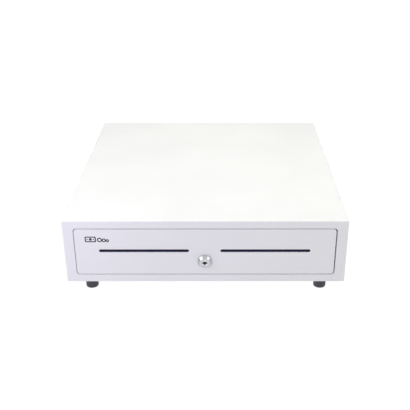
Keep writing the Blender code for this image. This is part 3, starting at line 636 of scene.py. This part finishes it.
def fascia():
    """The drawer's front: a face with two slots and the lock's hole, and a return all round."""
    low, high, middle = corners("drawer_front")
    width, height = high.x - low.x - FRONT_TRIM[0], high.z - low.z - FRONT_TRIM[1]
    centre = (middle.x, middle.z)
    outer = oblong(centre, width, height, FRONT_RADIUS)
    inner = oblong(centre, width - 2 * SHEET, height - 2 * SHEET, FRONT_RADIUS - SHEET)
    slot = (SLOT_LENGTH, SLOT_HEIGHT + SLOT_EXTRA, 2.39 * MM, 12)
    holes = [oblong((SLOT_SHIFT + sign * SLOT_X, SLOT_Z), *slot) for sign in SIDES.values()]
    holes.append(ring(lock_centre(), LOCK_HOLE, 64))
    face = plate("fascia", [outer], "XZ", low.y, high.y, 0.2 * MM)
    tools = [
        plate(f"fascia_hole_{i}", [hole], "XZ", low.y - 3 * MM, low.y + 4 * MM, 0)
        for i, hole in enumerate(holes)
    ]
    tools.append(plate("fascia_pocket", [inner], "XZ", low.y + SHEET, high.y + 5 * MM, 0))
    put(softened(cut(face, *tools), 0.1 * MM, 2), "drawer", "powder_coat", "drawer_front")


def lock():
    """The collar and barrel in one, and the plug with its keyhole."""
    x, z = lock_centre()
    front = corners("drawer_front")[0].y
    origin, forward = (x, front, z), (0, -1, 0)
    bore, barrel, end = 5.9 * MM, 9.2 * MM, front - corners("lock_body")[1].y
    rim = [
        (7.3, 5.5, 0.6), (10.3, 1.75, 1.0), (10.75, 0.9, 0.4), (10.75, 0.15, 0.1),
        (9.2, 0.15, 0.1),
    ]
    turns = 24
    ridges = thread(barrel, barrel - 0.4 * MM, -1.6 * MM, (end + 3 * MM) / turns, turns)
    inside = [
        (barrel - 0.2 * MM, end + 1 * MM), (barrel - 0.5 * MM, end), (bore, end),
        (bore, 5.2 * MM), (6.2 * MM, 5.5 * MM),
    ]
    path = filleted([(r * MM, h * MM, f * MM) for r, h, f in rim], 0, closed=False, steps=6)
    path += [Vector(p) for p in ridges]
    path += filleted(inside, 0.2 * MM, closed=False, steps=3)
    body = turned("lock_collar", path, origin, forward, 96, hollow=True)
    put(body, "drawer", "lock_chrome", "lock_body", sharp=50)

    radius, face = 5.8 * MM, 5.3 * MM
    back = front - corners("lock_plug")[1].y
    plug = pin("lock_core", radius, (face, back), (0.2 * MM, 0.3 * MM), origin, forward, 72)
    fan = [
        (4.2, -0.3, 0.4), (3.0, 1.7, 1.5), (0, 2.7, 4), (-3.0, 1.7, 1.5), (-4.2, -0.3, 0.4),
        (-1.6, -1.3, 1.0), (-0.5, -3.1, 0.3), (0.5, -3.1, 0.3), (1.6, -1.3, 1.0),
    ]
    fan = filleted([(x + u * MM, z + v * MM, r * MM) for u, v, r in fan], 0, steps=4)
    keyhole = plate("keyhole", [fan], "XZ", front - 8 * MM, front + 10 * MM, 0)
    put(cut(plug, keyhole), "lock_cylinder", "lock_chrome", "lock_plug")


# --- rails and rollers

def rails():
    for side, sign in SIDES.items():
        low, high, middle = corners(f"case_rail_{side}")
        lip, outer = sorted((abs(low.x), abs(high.x)))
        path = [(lip, low.z), (outer, low.z), (outer, high.z), (lip, high.z)]
        outline = [(sign * p.x, p.y) for p in ribbon(path, SHEET, 2 * MM)]
        rail = plate(f"rail_channel_{side}", [outline], "XZ", low.y, high.y)
        reach = sorted((sign * (outer - 4 * MM), sign * (outer + 4 * MM)))
        holes = []
        for i in range(6):
            y = low.y + (i + 0.5) * (high.y - low.y) / 6
            hole = oblong((y, middle.z), 12 * MM, 5 * MM, 2.45 * MM)
            holes.append(plate(f"rail_hole_{side}_{i}", [hole], "YZ", *reach, 0))
        put(cut(rail, *holes), "cabinet", "zinc_plate", f"case_rail_{side}")

        low, high, _ = corners(f"drawer_rail_{side}")
        root, edge = sorted((abs(low.x), abs(high.x)))
        path = [(edge, high.z), (root, high.z), (root, low.z)]
        outline = [(sign * p.x, p.y) for p in ribbon(path, SHEET, 1.8 * MM)]
        rail = plate(f"rail_angle_{side}", [outline], "XZ", low.y, high.y)
        put(rail, "drawer", "zinc_plate", f"drawer_rail_{side}")


def rollers():
    """Grooved wheels, the front ones on pins in the case, the rear ones on the drawer's."""
    for end, side in SPOTS:
        low, high, middle = corners(f"{end}_roller_{side}")
        radius, half = (high.z - low.z) / 2, (high.x - low.x) / 2
        floor = half - 0.5 * MM
        profile = [
            (PIVOT_BORE, half), (4 * MM, half), (4.3 * MM, floor), (radius - 1.6 * MM, floor),
            (radius - 1.3 * MM, half), (radius - 0.4 * MM, half), (radius, floor),
        ]
        profile += [(r, -height) for r, height in reversed(profile)]
        path = filleted(profile, 0.15 * MM, steps=3)
        wheel = turned(f"{end}_wheel_{side}", path, middle, RIGHT, 72, hollow=True)
        put(wheel, f"{end}_roller_{side}", "roller_plastic", f"{end}_roller_{side}")

        pin_low, pin_high, _ = corners(f"{end}_axle_{side}")
        seat, start, stop = half + GAP, pin_low.x - middle.x, pin_high.x - middle.x
        shoulder, neck, ease = 3.5 * MM, 2 * MM, 0.5 * MM
        profile = [
            (0, start), (shoulder, start, ease), (shoulder, -seat), (neck, -seat),
            (neck, seat), (shoulder, seat), (shoulder, stop, ease), (0, stop),
        ]
        axle = lathed(f"{end}_pin_{side}", profile, middle, RIGHT, 40)
        body = "cabinet" if end == "front" else "drawer"
        put(axle, body, "zinc_plate", f"{end}_axle_{side}")


# --- the drawer

def drawer_pan():
    """The drawer's box, its front wall cut low, with a ledge on each side for the tray."""
    low, high, _ = corners("drawer_box")
    tray_low, tray_high, _ = corners("cash_tray")
    pan = tub("drawer_pan", low, high, (UP,), 1.8 * MM, SHEET)
    gate = oblong((0, 90 * MM), 2 * (high.x - 5 * MM), 60 * MM, 4 * MM)
    gate = plate("low_front_wall", [gate], "XZ", low.y - 2 * MM, low.y + 4 * MM, 0)
    wall, top = high.x - SHEET, tray_low.z - GAP
    ledges = []
    for side, sign in SIDES.items():
        x = sorted((sign * (wall + 0.4 * MM), sign * (wall - 7 * MM)))
        near = (x[0], tray_low.y + 1 * MM, top - SHEET)
        ledges.append(block(f"ledge_{side}", near, (x[1], tray_high.y, top)))
    x, z = lock_centre()
    bores = [
        drill(f"{name}_hole", radius, (x, y, z), BACKWARD, 48)
        for name, radius, y in (("barrel", LOCK_HOLE, low.y), ("rod", 2.5 * MM, high.y))
    ]
    pan = cut(join(cut(pan, gate), *ledges), *bores)
    put(softened(pan, 0.2 * MM, 2), "drawer", "powder_coat", "drawer_box")


def slot_guides():
    """A dark guide behind each document slot, flanged against the back of the front, whose navy
    tone is partly painted shade.
    """
    front = corners("drawer_front")[0].y + SHEET + 0.05 * MM
    for side, sign in SIDES.items():
        centre = (SLOT_SHIFT + sign * SLOT_X, SLOT_Z)
        inner = oblong(centre, SLOT_LENGTH + 0.4 * MM, SLOT_HEIGHT + 0.6 * MM, 2.5 * MM, 12)
        flange = oblong(centre, SLOT_LENGTH + 6 * MM, SLOT_HEIGHT + 5 * MM, 3 * MM, 8)
        sleeve = oblong(centre, SLOT_LENGTH + 1.8 * MM, SLOT_HEIGHT + 1.8 * MM, 3.1 * MM, 12)
        name = f"slot_guide_{side}"
        guide = plate(name, [flange, inner], "XZ", front, front + 1.2 * MM)
        tube = plate(f"{name}_tube", [sleeve, inner], "XZ", front + 0.4 * MM, front + 20 * MM)
        # the navy finish is partly painted shade, standing in for the dark inside of each slot
        put(join(guide, tube), "drawer", "black_plastic", finish="slot_plastic_and_shade")


def striker():
    """A plate on the drawer's rear wall and the hook that the latch holds."""
    low, high, _ = corners("striker")
    bottom, top, inside = 62 * MM, 75 * MM, 71 * MM
    outline = oblong((0, 80 * MM), high.x - low.x, 20 * MM, 2.5 * MM)
    holes = [ring((sign * 8 * MM, 84 * MM), 1.6 * MM, 24) for sign in SIDES.values()]
    back = plate("striker_plate", [outline, *holes], "XZ", low.y, low.y + 1.5 * MM)
    root, leg = low.y + 0.7 * MM, high.y - 3.5 * MM
    hook = [
        (root, inside), (leg, inside, 0.8 * MM), (leg, bottom, 0.5 * MM),
        (high.y, bottom, 1.2 * MM), (high.y, top, 2.5 * MM), (root, top),
    ]
    arm = plate("striker_arm", [filleted(hook, 0)], "YZ", -1.5 * MM, 1.5 * MM, 0.2 * MM)
    put(join(back, arm), "drawer", "zinc_plate", "striker")


def lock_back():
    low, high, _ = corners("lock_nut")
    x, z = lock_centre()
    size = 14.4 * MM
    flats = [(x + size * cos(i * pi / 3), z + size * sin(i * pi / 3)) for i in range(6)]
    outlines = [filleted(flats, 0.8 * MM, steps=3), ring((x, z), LOCK_HOLE, 72)]
    nut = plate("lock_hex_nut", outlines, "XZ", low.y, high.y, 0.5 * MM)
    put(nut, "drawer", "lock_brass", "lock_nut")

    low, high, _ = corners("release_rod")
    ends, eases = (low.y, high.y), (0.4 * MM, 0.5 * MM)
    rod = pin("release_shaft", 2 * MM, ends, eases, (x, 0, z), BACKWARD, 32)
    crank = belt((x, z), 4.5 * MM, (x - 14 * MM, z), 2.5 * MM)
    crank = plate("crank", [crank], "XZ", high.y - 4.5 * MM, high.y - 0.1 * MM, 0.3 * MM)
    put(join(rod, crank), "lock_cylinder", "zinc_plate", "release_rod")


def belt(large, large_radius, small, small_radius):
    """The outline of a belt round two circles."""
    reach = Vector(small) - Vector(large)
    heading = atan2(reach.y, reach.x) * 180 / pi
    spread = acos((large_radius - small_radius) / reach.length) * 180 / pi
    around_large = ring(large, large_radius, 32, heading + spread, heading + 360 - spread)
    around_small = ring(small, small_radius, 16, heading - spread, heading + spread)
    return around_large + around_small


# --- the tray

def tray():
    """The cash tray, with a bay for the coin insert and one for the notes."""
    low, high, middle = corners("cash_tray")
    coin_high = corners("coin_tray")[1]
    outline = oblong((0, middle.y), high.x - low.x, high.y - low.y, 3 * MM)
    shell = plate("tray_shell", [outline], "XY", low.z, high.z, 0.6 * MM)
    coins_end = coin_high.y + GAP
    bays = (
        (low.y + TRAY_WALL, coins_end, 0.6 * MM),
        (coins_end + TRAY_WALL, high.y - TRAY_WALL, 3 * MM),
    )
    tools = []
    for i, (front, rear, radius) in enumerate(bays):
        width = high.x - low.x - 2 * TRAY_WALL
        bay = oblong((0, (front + rear) / 2), width, rear - front, radius)
        tools.append(plate(f"bay_{i}", [bay], "XY", low.z + TRAY_WALL, high.z + 5 * MM, 0))
    put(softened(cut(shell, *tools), 0.5 * MM), "drawer", "black_plastic", "cash_tray")


def coin_insert():
    low, high, _ = corners("coin_tray")
    insert = block("coin_insert", low, high)
    wide, deep = (high.x - low.x - TRAY_WALL) / 4, (high.y - low.y - TRAY_WALL) / 2
    cups = []
    for column in range(4):
        for row in range(2):
            x, y = low.x + TRAY_WALL + wide * column, low.y + TRAY_WALL + deep * row
            far = (x + wide - TRAY_WALL, y + deep - TRAY_WALL, high.z + 12 * MM)
            cup = block(f"cup_{column}_{row}", (x, y, low.z + TRAY_WALL), far)
            cups.append(softened(cup, 9 * MM, 8))
    put(softened(cut(insert, *cups), 0.5 * MM), "drawer", "black_plastic", "coin_tray")


def dividers():
    """The walls between the notes, notched at the rear for the clips' rod."""
    rod = corners("clip_rod")[2]
    notch_y, notch_z = rod.y - 7 * MM, rod.z - 4 * MM
    for number in (1, 2, 3):
        low, high, _ = corners(f"bill_divider_{number}")
        outline = filleted([
            (low.y, low.z, 0.5 * MM), (low.y, high.z, 6 * MM), (notch_y, high.z, 1.5 * MM),
            (notch_y, notch_z, 1.5 * MM), (high.y, notch_z, 0.8 * MM), (high.y, low.z, 0.5 * MM),
        ], 0)
        wall = plate(f"bill_wall_{number}", [outline], "YZ", low.x, high.x, 0.35 * MM)
        put(wall, "drawer", "black_plastic", f"bill_divider_{number}")


def clips():
    rod_low, rod_high, rod = corners("clip_rod")
    ends, ease = (rod_low.x, rod_high.x), 0.4 * MM
    shaft = pin("clip_shaft", 2 * MM, ends, (ease, ease), (0, rod.y, rod.z), RIGHT, 32)
    put(shaft, "drawer", "zinc_plate", "clip_rod")

    hub, half, root = 5 * MM, 1.5 * MM, 17.5  # root in degrees, from the arm's middle
    start, end = Vector((-hub * cos(radians(root)), 0)), Vector((-88 * MM, -36 * MM))
    bend = Vector((-46 * MM, -12 * MM))
    upper, lower = [], []
    steps = 28
    for i in range(1, steps + 1):
        t = i / steps
        place = start * (1 - t) ** 2 + bend * 2 * t * (1 - t) + end * t**2
        along = ((bend - start) * (1 - t) + (end - bend) * t).normalized()
        normal = Vector((along.y, -along.x)) * half
        upper.append(place + normal)
        lower.append(place - normal)
    along = end - bend
    heading = atan2(along.y, along.x) * 180 / pi
    tip = ring(end, half, 10, heading - 90, heading + 90)[1:-1]
    around = ring((0, 0), hub, 60, 180 + root, 540 - root)
    outline = [
        Vector((rod.y + p.x, rod.z + p.y)) for p in around + upper + tip[::-1] + lower[::-1]
    ]
    bore = ring((rod.y, rod.z), PIVOT_BORE, 32)
    for number in range(1, 5):
        low, high, middle = corners(f"bill_clip_{number}")
        arm = plate(f"clip_arm_{number}", [outline, bore], "YZ", low.x, high.x, 0.4 * MM)
        put(arm, f"clip_{number}", "black_plastic", f"bill_clip_{number}")
        for side, sign in SIDES.items():
            near = middle.x + sign * (high.x - low.x + 1.2 * MM) / 2
            ends = ((near, rod.y, rod.z), (near + sign * 4.2 * MM, rod.y, rod.z))
            spring = coil(f"clip_spring_{number}_{side}", *ends, 2.75 * MM, 0.35 * MM, 4)
            put(spring, "drawer", "spring_steel")


# --- the latch and its wiring

def wire(name, points, radius, sides):
    curve = bpy.data.curves.new(name, "CURVE")
    curve.dimensions = "3D"
    curve.bevel_depth = radius
    curve.bevel_resolution = sides
    curve.use_fill_caps = True
    spline = curve.splines.new("POLY")
    spline.points.add(len(points) - 1)
    for point, place in zip(spline.points, points):
        point.co = (*place, 1)
    return baked(linked(name, curve))


def smooth_route(points, steps):
    """Points along a smooth curve through the given points."""
    padded = [points[0], *points, points[-1]]
    route = []
    for a, b, c, d in zip(padded, padded[1:], padded[2:], padded[3:]):
        a, b, c, d = Vector(a), Vector(b), Vector(c), Vector(d)
        for i in range(steps):
            t = i / steps
            curl = (2 * a - 5 * b + 4 * c - d) * t**2 + (3 * b - a - 3 * c + d) * t**3
            route.append((2 * b + (c - a) * t + curl) / 2)
    return [*route, Vector(points[-1])]


def coil(name, start, end, radius, wire_radius, turns):
    """A coil spring whose end turns lie flat against its stops."""
    start, end = Vector(start), Vector(end)
    closed, per_turn = 0.8, 32
    pitch = 2.1 * wire_radius  # of the closed turns
    length = (end - start).length
    along = (end - start).normalized()
    side = along.orthogonal().normalized()
    up = along.cross(side)
    points = []
    for i in range(int(turns * per_turn) + 1):
        turn = i / per_turn
        share = min(max((turn - closed) / (turns - 2 * closed), 0), 1)
        flat = min(turn, closed) + max(turn - turns + closed, 0)
        distance = wire_radius + flat * pitch
        distance += share * (length - 2 * wire_radius - 2 * closed * pitch)
        angle = 2 * pi * turn
        points.append(start + along * distance + radius * (side * cos(angle) + up * sin(angle)))
    return wire(name, points, wire_radius, 3)


def mechanism_table():
    """A bracket like a low table for the latch, with a post for the latch's spring."""
    low, high, middle = corners("mech_bracket")
    pivot = corners("latch_pivot")[2]
    deck, thick = 53.5 * MM, 1.5 * MM
    leg_left, leg_right = low.x + 12 * MM, high.x - 12 * MM
    path = [
        (low.x, low.z), (leg_left + thick, low.z), (leg_left + thick, deck - thick),
        (leg_right - thick, deck - thick), (leg_right - thick, low.z), (high.x, low.z),
    ]
    table = plate("latch_table", [ribbon(path, thick, 2.2 * MM)], "XZ", low.y, high.y)
    place = (46 * MM, pivot.y + 8.5 * MM, 0)
    hook = pin("hook_post", 2 * MM, (deck - 1 * MM, high.z), (0, 0.6 * MM), place, UP, 32)
    holes = []
    for i, x in enumerate((-30, -12, 84)):
        oval = oblong((x * MM, middle.y), 6 * MM, 14 * MM, 2.9 * MM)
        holes.append(plate(f"table_hole_{i}", [oval], "XY", deck - 5 * MM, deck + 2 * MM, 0))
    put(join(cut(table, *holes), hook), "cabinet", "zinc_plate", "mech_bracket")


def latch():
    """The pivot, the lever with its pin and tab, swung to the released pose, and its spring."""
    low, high, pivot = corners("latch_pivot")
    over, under = LEVER_LEVEL + 2 * MM + GAP, LEVER_LEVEL - 2 * MM - GAP
    profile = [
        (0, high.z), (3.5 * MM, high.z, 0.6 * MM), (3.5 * MM, over), (2 * MM, over),
        (2 * MM, under), (4 * MM, under), (4 * MM, low.z, 0.3 * MM), (0, low.z),
    ]
    axle = lathed("latch_pin", profile, (pivot.x, pivot.y, 0), UP, 40)
    put(axle, "cabinet", "zinc_plate", "latch_pivot")

    half, nose, nose_front, nose_back = 4.5 * MM, -18 * MM, -26.5 * MM, -22.1 * MM
    outline = ring((0, 6 * MM), half, 32, 0, 180) + filleted(
        [
            (-half, 0, 0), (-half, nose_back, 1.2 * MM), (nose, nose_back, 0.5 * MM),
            (nose, nose_front, 1.2 * MM), (half, nose_front, 2 * MM), (half, 0, 0),
        ],
        0,
    )
    bore = ring((0, 0), PIVOT_BORE, 32)
    lever = plate("latch_arm", [outline, bore], "XY", -2 * MM, 2 * MM, 0.3 * MM)
    place = (0, -14 * MM, 0)
    link = pin("link_pin", 1.5 * MM, (1 * MM, 6 * MM), (0, 0.4 * MM), place, UP, 32)
    tab_low = Vector((nose + 1 * MM, nose_front, -10 * MM))
    tab_high = Vector((nose + 5 * MM, nose_front + 3 * MM, -1 * MM))
    lever = join(lever, link, softened(block("release_tab", tab_low, tab_high), 0.6 * MM))
    swing = Matrix.Rotation(LATCH_TURN, 4, "Z")
    lever.data.transform(Matrix.Translation((pivot.x, pivot.y, LEVER_LEVEL)) @ swing)
    put(lever, "latch", "zinc_plate", "latch_lever")

    low, high, middle = corners("latch_spring")
    ends = (Vector((low.x, middle.y, middle.z)), Vector((high.x, middle.y, middle.z)))
    spring = coil("latch_coil", *ends, 2.4 * MM, 0.4 * MM, 9)
    put(spring, "cabinet", "spring_steel", "latch_spring")
    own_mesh(spring)


def solenoid():
    low, high, _ = corners("solenoid_frame")
    coil_low, coil_high, axis = corners("solenoid_coil")
    path = [(low.x, high.z), (low.x, low.z), (high.x, low.z), (high.x, high.z)]
    yoke = plate("solenoid_yoke", [ribbon(path, 1.5 * MM, 2.2 * MM)], "XZ", low.y, high.y)
    bore = drill("plunger_bore", 4.6 * MM, (low.x, axis.y, axis.z), RIGHT, 48)
    put(cut(yoke, bore), "cabinet", "zinc_plate", "solenoid_frame")

    half = (coil_high.x - coil_low.x) / 2
    cheek, bobbin, winding, inner = half - 1.4 * MM, 9.3 * MM, 8.5 * MM, 4.4 * MM
    count = 30
    first = cheek - 0.2 * MM
    layers = [
        (winding - (0.25 * MM if i % 2 else 0), first - 2 * first * i / count)
        for i in range(count + 1)
    ]
    profile = [
        (inner, half), (bobbin, half), (bobbin, cheek), (winding - 0.5 * MM, cheek), *layers,
        (winding - 0.5 * MM, -cheek), (bobbin, -cheek), (bobbin, -half), (inner, -half),
    ]
    reel = turned("solenoid_reel", profile, axis, RIGHT, 72, hollow=True)
    put(reel, "cabinet", "coil_tape", "solenoid_coil")

    low, high, _ = corners("plunger")
    start, ease = 25 * MM, 0.5 * MM
    place = (0, axis.y, axis.z)
    rod = pin("plunger_rod", 4 * MM, (start, high.x), (ease, ease), place, RIGHT, 48)
    pin_x = 14 * MM + 14 * MM * sin(LATCH_TURN)
    tongue_end = start + 3 * MM
    centre = ((low.x + tongue_end) / 2, axis.y)
    tongue = oblong(centre, tongue_end - low.x, 10 * MM, 2.5 * MM)
    hole = oblong((pin_x, axis.y), 4.1 * MM, 5.4 * MM, 1.6 * MM)
    level = 68.6 * MM
    tongue = plate("plunger_tongue", [tongue, hole], "XY", level, level + 1.5 * MM)
    put(join(rod, tongue), "solenoid_plunger", "zinc_plate", "plunger")


def switch():
    """The switch's body with its nub, seam and rivet holes, three blades, and the arm."""
    low, high, middle = corners("micro_switch")
    pivot_y = corners("latch_pivot")[2].y
    right = high.x - 3.5 * MM
    body = softened(block("switch_body", low, (right, high.y, high.z)), 0.8 * MM)
    reach = high.x - right + 1 * MM
    place = (right - 1 * MM, pivot_y - 4 * MM, LEVER_LEVEL)
    nub = pin("switch_nub", 1 * MM, (0, reach), (0, 0.3 * MM), place, RIGHT, 24)
    near = (low.x - 1 * MM, high.y - 0.3 * MM, middle.z - 0.15 * MM)
    far = (right + 1 * MM, high.y + 1 * MM, middle.z + 0.15 * MM)
    tools = [block("seam", near, far)]
    for i, y in enumerate((low.y + 4.5 * MM, high.y - 4.5 * MM)):
        place = ((low.x + right) / 2, y, high.z)
        tools.append(pin(f"rivet_{i}", 1.6 * MM, (-6 * MM, 1 * MM), (0, 0), place, UP, 32))
    body = cut(join(body, nub), *tools)
    put(body, "cabinet", "black_plastic", "micro_switch")
    for i, y in enumerate((low.y + 4 * MM, middle.y, high.y - 4 * MM)):
        blade = oblong((low.x - 2.2 * MM, y), 5.4 * MM, 3.2 * MM, 0.8 * MM)
        hole = ring((low.x - 3.2 * MM, y), 0.6 * MM, 20)
        blade = plate(f"switch_blade_{i}", [blade, hole], "XY", 58 * MM, 58.6 * MM, 0.1 * MM)
        put(blade, "cabinet", "lock_brass")

    low, high, _ = corners("switch_arm")
    pivot = (2 * MM, pivot_y + 11.5 * MM)
    outline = belt(pivot, 1.6 * MM, (pivot[0] + 9.9 * MM, pivot[1] - 24.5 * MM), 1 * MM)
    arm = plate("switch_leaf", [outline], "XY", low.z, high.z, 0.25 * MM)
    put(arm, "switch_lever", "spring_steel", "switch_arm")


def ejectors():
    for side in SIDES:
        low, high, middle = corners(f"spring_post_{side}")
        reach, flange = high.y - low.y, 1.3 * MM
        profile = [
            (0, reach), (4.5 * MM, reach, 1.2 * MM), (4.5 * MM, flange, 0.4 * MM),
            (8.5 * MM, flange, 0.4 * MM), (8.5 * MM, 0, 0.2 * MM), (0, 0),
        ]
        origin = (middle.x, high.y, middle.z)
        post = lathed(f"eject_post_{side}", profile, origin, (0, -1, 0), 48)
        put(post, "cabinet", "zinc_plate", f"spring_post_{side}")
        low, high, middle = corners(f"eject_spring_{side}")
        ends = ((middle.x, high.y, middle.z), (middle.x, low.y, middle.z))
        spring = coil(f"eject_coil_{side}", *ends, 6.5 * MM, 0.7 * MM, 8)
        put(spring, "cabinet", "spring_steel", f"eject_spring_{side}")


def inlet():
    low, high, _ = corners("inlet_jack")
    rim = 1 * MM
    face = corners("rear_panel")[1].y + GAP
    x_low, x_high, z_low, z_high = low.x + rim, high.x - rim, low.z + rim, high.z - rim
    x, z = (x_low + x_high) / 2, (z_low + z_high) / 2
    body = oblong((x, z), x_high - x_low, z_high - z_low, 0.6 * MM, 3)
    lip = oblong((x, z), high.x - low.x, high.z - low.z, 1.2 * MM, 4)
    left, right = x_low + 2.2 * MM, x_high - 2.2 * MM
    bottom, top = z_low + 3 * MM, z_high - 3.5 * MM
    key, key_bottom = 3 * MM, bottom - 1.6 * MM
    socket = filleted([
        (left, bottom), (x - key, bottom), (x - key, key_bottom), (x + key, key_bottom),
        (x + key, bottom), (right, bottom), (right, top), (left, top),
    ], 0.2 * MM)
    shell = plate("jack_shell", [body], "XZ", low.y, high.y - 0.2 * MM)
    jack_lip = plate("jack_lip", [lip], "XZ", face, high.y, 0.3 * MM)
    mouth = plate("jack_mouth", [socket], "XZ", low.y + 3 * MM, high.y + 3 * MM, 0)
    put(cut(join(shell, jack_lip), mouth), "cabinet", "black_plastic", "inlet_jack")
    for i in range(6):
        across = x + (i - 2.5) * 1.27 * MM
        points = [
            (across, low.y + 3.1 * MM, top - 0.5 * MM), (across, high.y - 2.6 * MM, top - 0.5 * MM),
            (across, high.y - 2.0 * MM, top - 0.9 * MM), (across, low.y + 5 * MM, top - 3 * MM),
        ]
        contact = wire(f"jack_contact_{i}", smooth_route(points, 6), 0.22 * MM, 2)
        put(contact, "cabinet", "lock_brass")


def wiring():
    """The harness from the inlet, down and round to the end of the solenoid."""
    low, high, _ = corners("inlet_jack")
    x, y, z = (low.x + high.x) / 2, low.y, (low.z + high.z) / 2
    _, end_y, end_z = corners("solenoid_coil")[2]
    end_x = corners("solenoid_frame")[1].x
    route = [
        (x, y - 2 * GAP, z), (x, y - 4 * MM, z), (x, y - 8 * MM, z - 1 * MM),
        (136 * MM, y - 14 * MM, 25 * MM), (118 * MM, y - 15 * MM, 23 * MM),
        (106 * MM, y - 16 * MM, 30 * MM), (101 * MM, y - 17 * MM, 50 * MM),
        (95 * MM, y - 18.5 * MM, 62 * MM), (end_x + 8 * MM, end_y, end_z),
        (end_x + 4 * MM, end_y, end_z), (end_x + 2 * GAP, end_y, end_z),
    ]
    put(wire("wiring", smooth_route(route, 16), 1.5 * MM, 5), "cabinet", "black_plastic", "harness")


def badge():
    """A generic mark printed at the upper left of the front: a banknote and three coins."""
    low = corners("drawer_front")[0]
    back, ink = low.y + 0.02 * MM, low.y - 0.08 * MM
    line = 1.6 * MM
    x, z = BADGE
    width, height = 16 * MM, 9 * MM
    note = oblong((x, z), width, height, 1.5 * MM, 5)
    inner = oblong((x, z), width - 2 * line, height - 2 * line, 0.8 * MM, 4)
    shapes = [
        ("note", [note, inner]),
        ("note_disc", [ring((x, z), 2.1 * MM, 32)]),
        ("note_dot_left", [ring((x - 4.6 * MM, z), 0.9 * MM, 16)]),
        ("note_dot_right", [ring((x + 4.6 * MM, z), 0.9 * MM, 16)]),
    ]
    for i, (across, radius) in enumerate(((13, 3.6), (19.1, 3.0), (24.2, 2.4))):
        centre = (x + across * MM, z - height / 2 + radius * MM)
        rings = [ring(centre, radius * MM, 40), ring(centre, radius * MM - line, 40)]
        shapes.append((f"coin_{i}", rings))
    for name, outlines in shapes:
        mark = plate(f"badge_{name}", outlines, "XZ", ink, back, 0.01 * MM, 1)
        put(mark, "drawer", "black_plastic")


for build in (
    case_cover, base_pan, back_panel, panel_screws, feet, rails, rollers, fascia, badge,
    slot_guides, lock, lock_back, drawer_pan, striker, tray, coin_insert, dividers, clips,
    mechanism_table, latch, solenoid, switch, ejectors, inlet, wiring,
):
    build()


# --- floor, light and camera

def stage():
    """A pale floor that partly lights itself, so that it shows next to no shadow."""
    bm = bmesh.new()
    bmesh.ops.create_grid(bm, x_segments=1, y_segments=1, size=8)
    floor = linked("floor", mesh_from("floor", bm))
    pale = bpy.data.materials.new("floor")
    pale.use_nodes = True
    skin = pale.node_tree.nodes["Principled BSDF"]
    for socket, value in (
        ("Base Color", (0.12, 0.12, 0.12, 1)), ("Roughness", 1.0), ("Specular IOR Level", 0.0),
        ("Emission Color", (0.935, 0.935, 0.93, 1)), ("Emission Strength", 1.0),
    ):
        skin.inputs[socket].default_value = value
    floor.data.materials.append(pale)


def studio():
    """A soft surrounding light, dim and violet at the horizon and bright overhead and below."""
    world = bpy.data.worlds.new("studio")
    world.use_nodes = True
    bpy.context.scene.world = world
    tree = world.node_tree
    sky = tree.nodes["Background"]
    place = tree.nodes.new("ShaderNodeTexCoord")
    split = tree.nodes.new("ShaderNodeSeparateXYZ")
    tree.links.new(place.outputs["Generated"], split.inputs["Vector"])
    horizon, overhead, below = (0.18, 0.17, 0.28), (0.78, 0.78, 0.72), (0.8, 0.8, 0.8)
    shade = ramp(tree, split.outputs["Z"], horizon, overhead, 0.1, 0.9)
    for height, colour in ((0.0, below), (0.04, horizon)):
        shade.node.color_ramp.elements.new(height).color = (*colour, 1)
    tree.links.new(shade, sky.inputs["Color"])
    sky.inputs["Strength"].default_value = 1.0


def soft_light(name, place, target, size, power, colour=(1, 1, 1)):
    lamp = bpy.data.lights.new(name, "AREA")
    lamp.shape = "RECTANGLE"
    lamp.size, lamp.size_y = size
    lamp.energy = power
    lamp.color = colour
    made = linked(name, lamp)
    made.location = place
    made.rotation_euler = (Vector(target) - Vector(place)).to_track_quat("-Z", "Y").to_euler()


def camera():
    lens = bpy.data.cameras.new("camera")
    lens.sensor_width = 36
    lens.lens = 60.93
    lens.shift_x, lens.shift_y = -0.0342, 0.001
    made = linked("camera", lens)
    made.location = (0.01987, -1.08115, 0.5644)
    down, roll = radians(25.97), radians(0.02)
    made.rotation_euler = (pi / 2 - down, roll, 0)
    bpy.context.scene.camera = made


stage()
studio()
soft_light("above", (0.1, 0.04, 1.1), (0.06, -0.1, 0.1), (1.0, 0.4), 5.85, (0.94, 0.98, 0.85))
soft_light("left", (-0.95, -0.35, 0.75), (0, -0.2, 0.06), (0.45, 1.1), 2.35)
soft_light("right", (0.95, -0.35, 0.75), (0, -0.2, 0.06), (0.45, 1.1), 1.6)
soft_light("fill", (-0.40, -0.50, 0.30), (-0.2, -0.2, 0.06), (0.3, 0.3), 0.62, (0.68, 0.61, 1.0))
camera()
bpy.context.scene.view_settings.view_transform = "Standard"
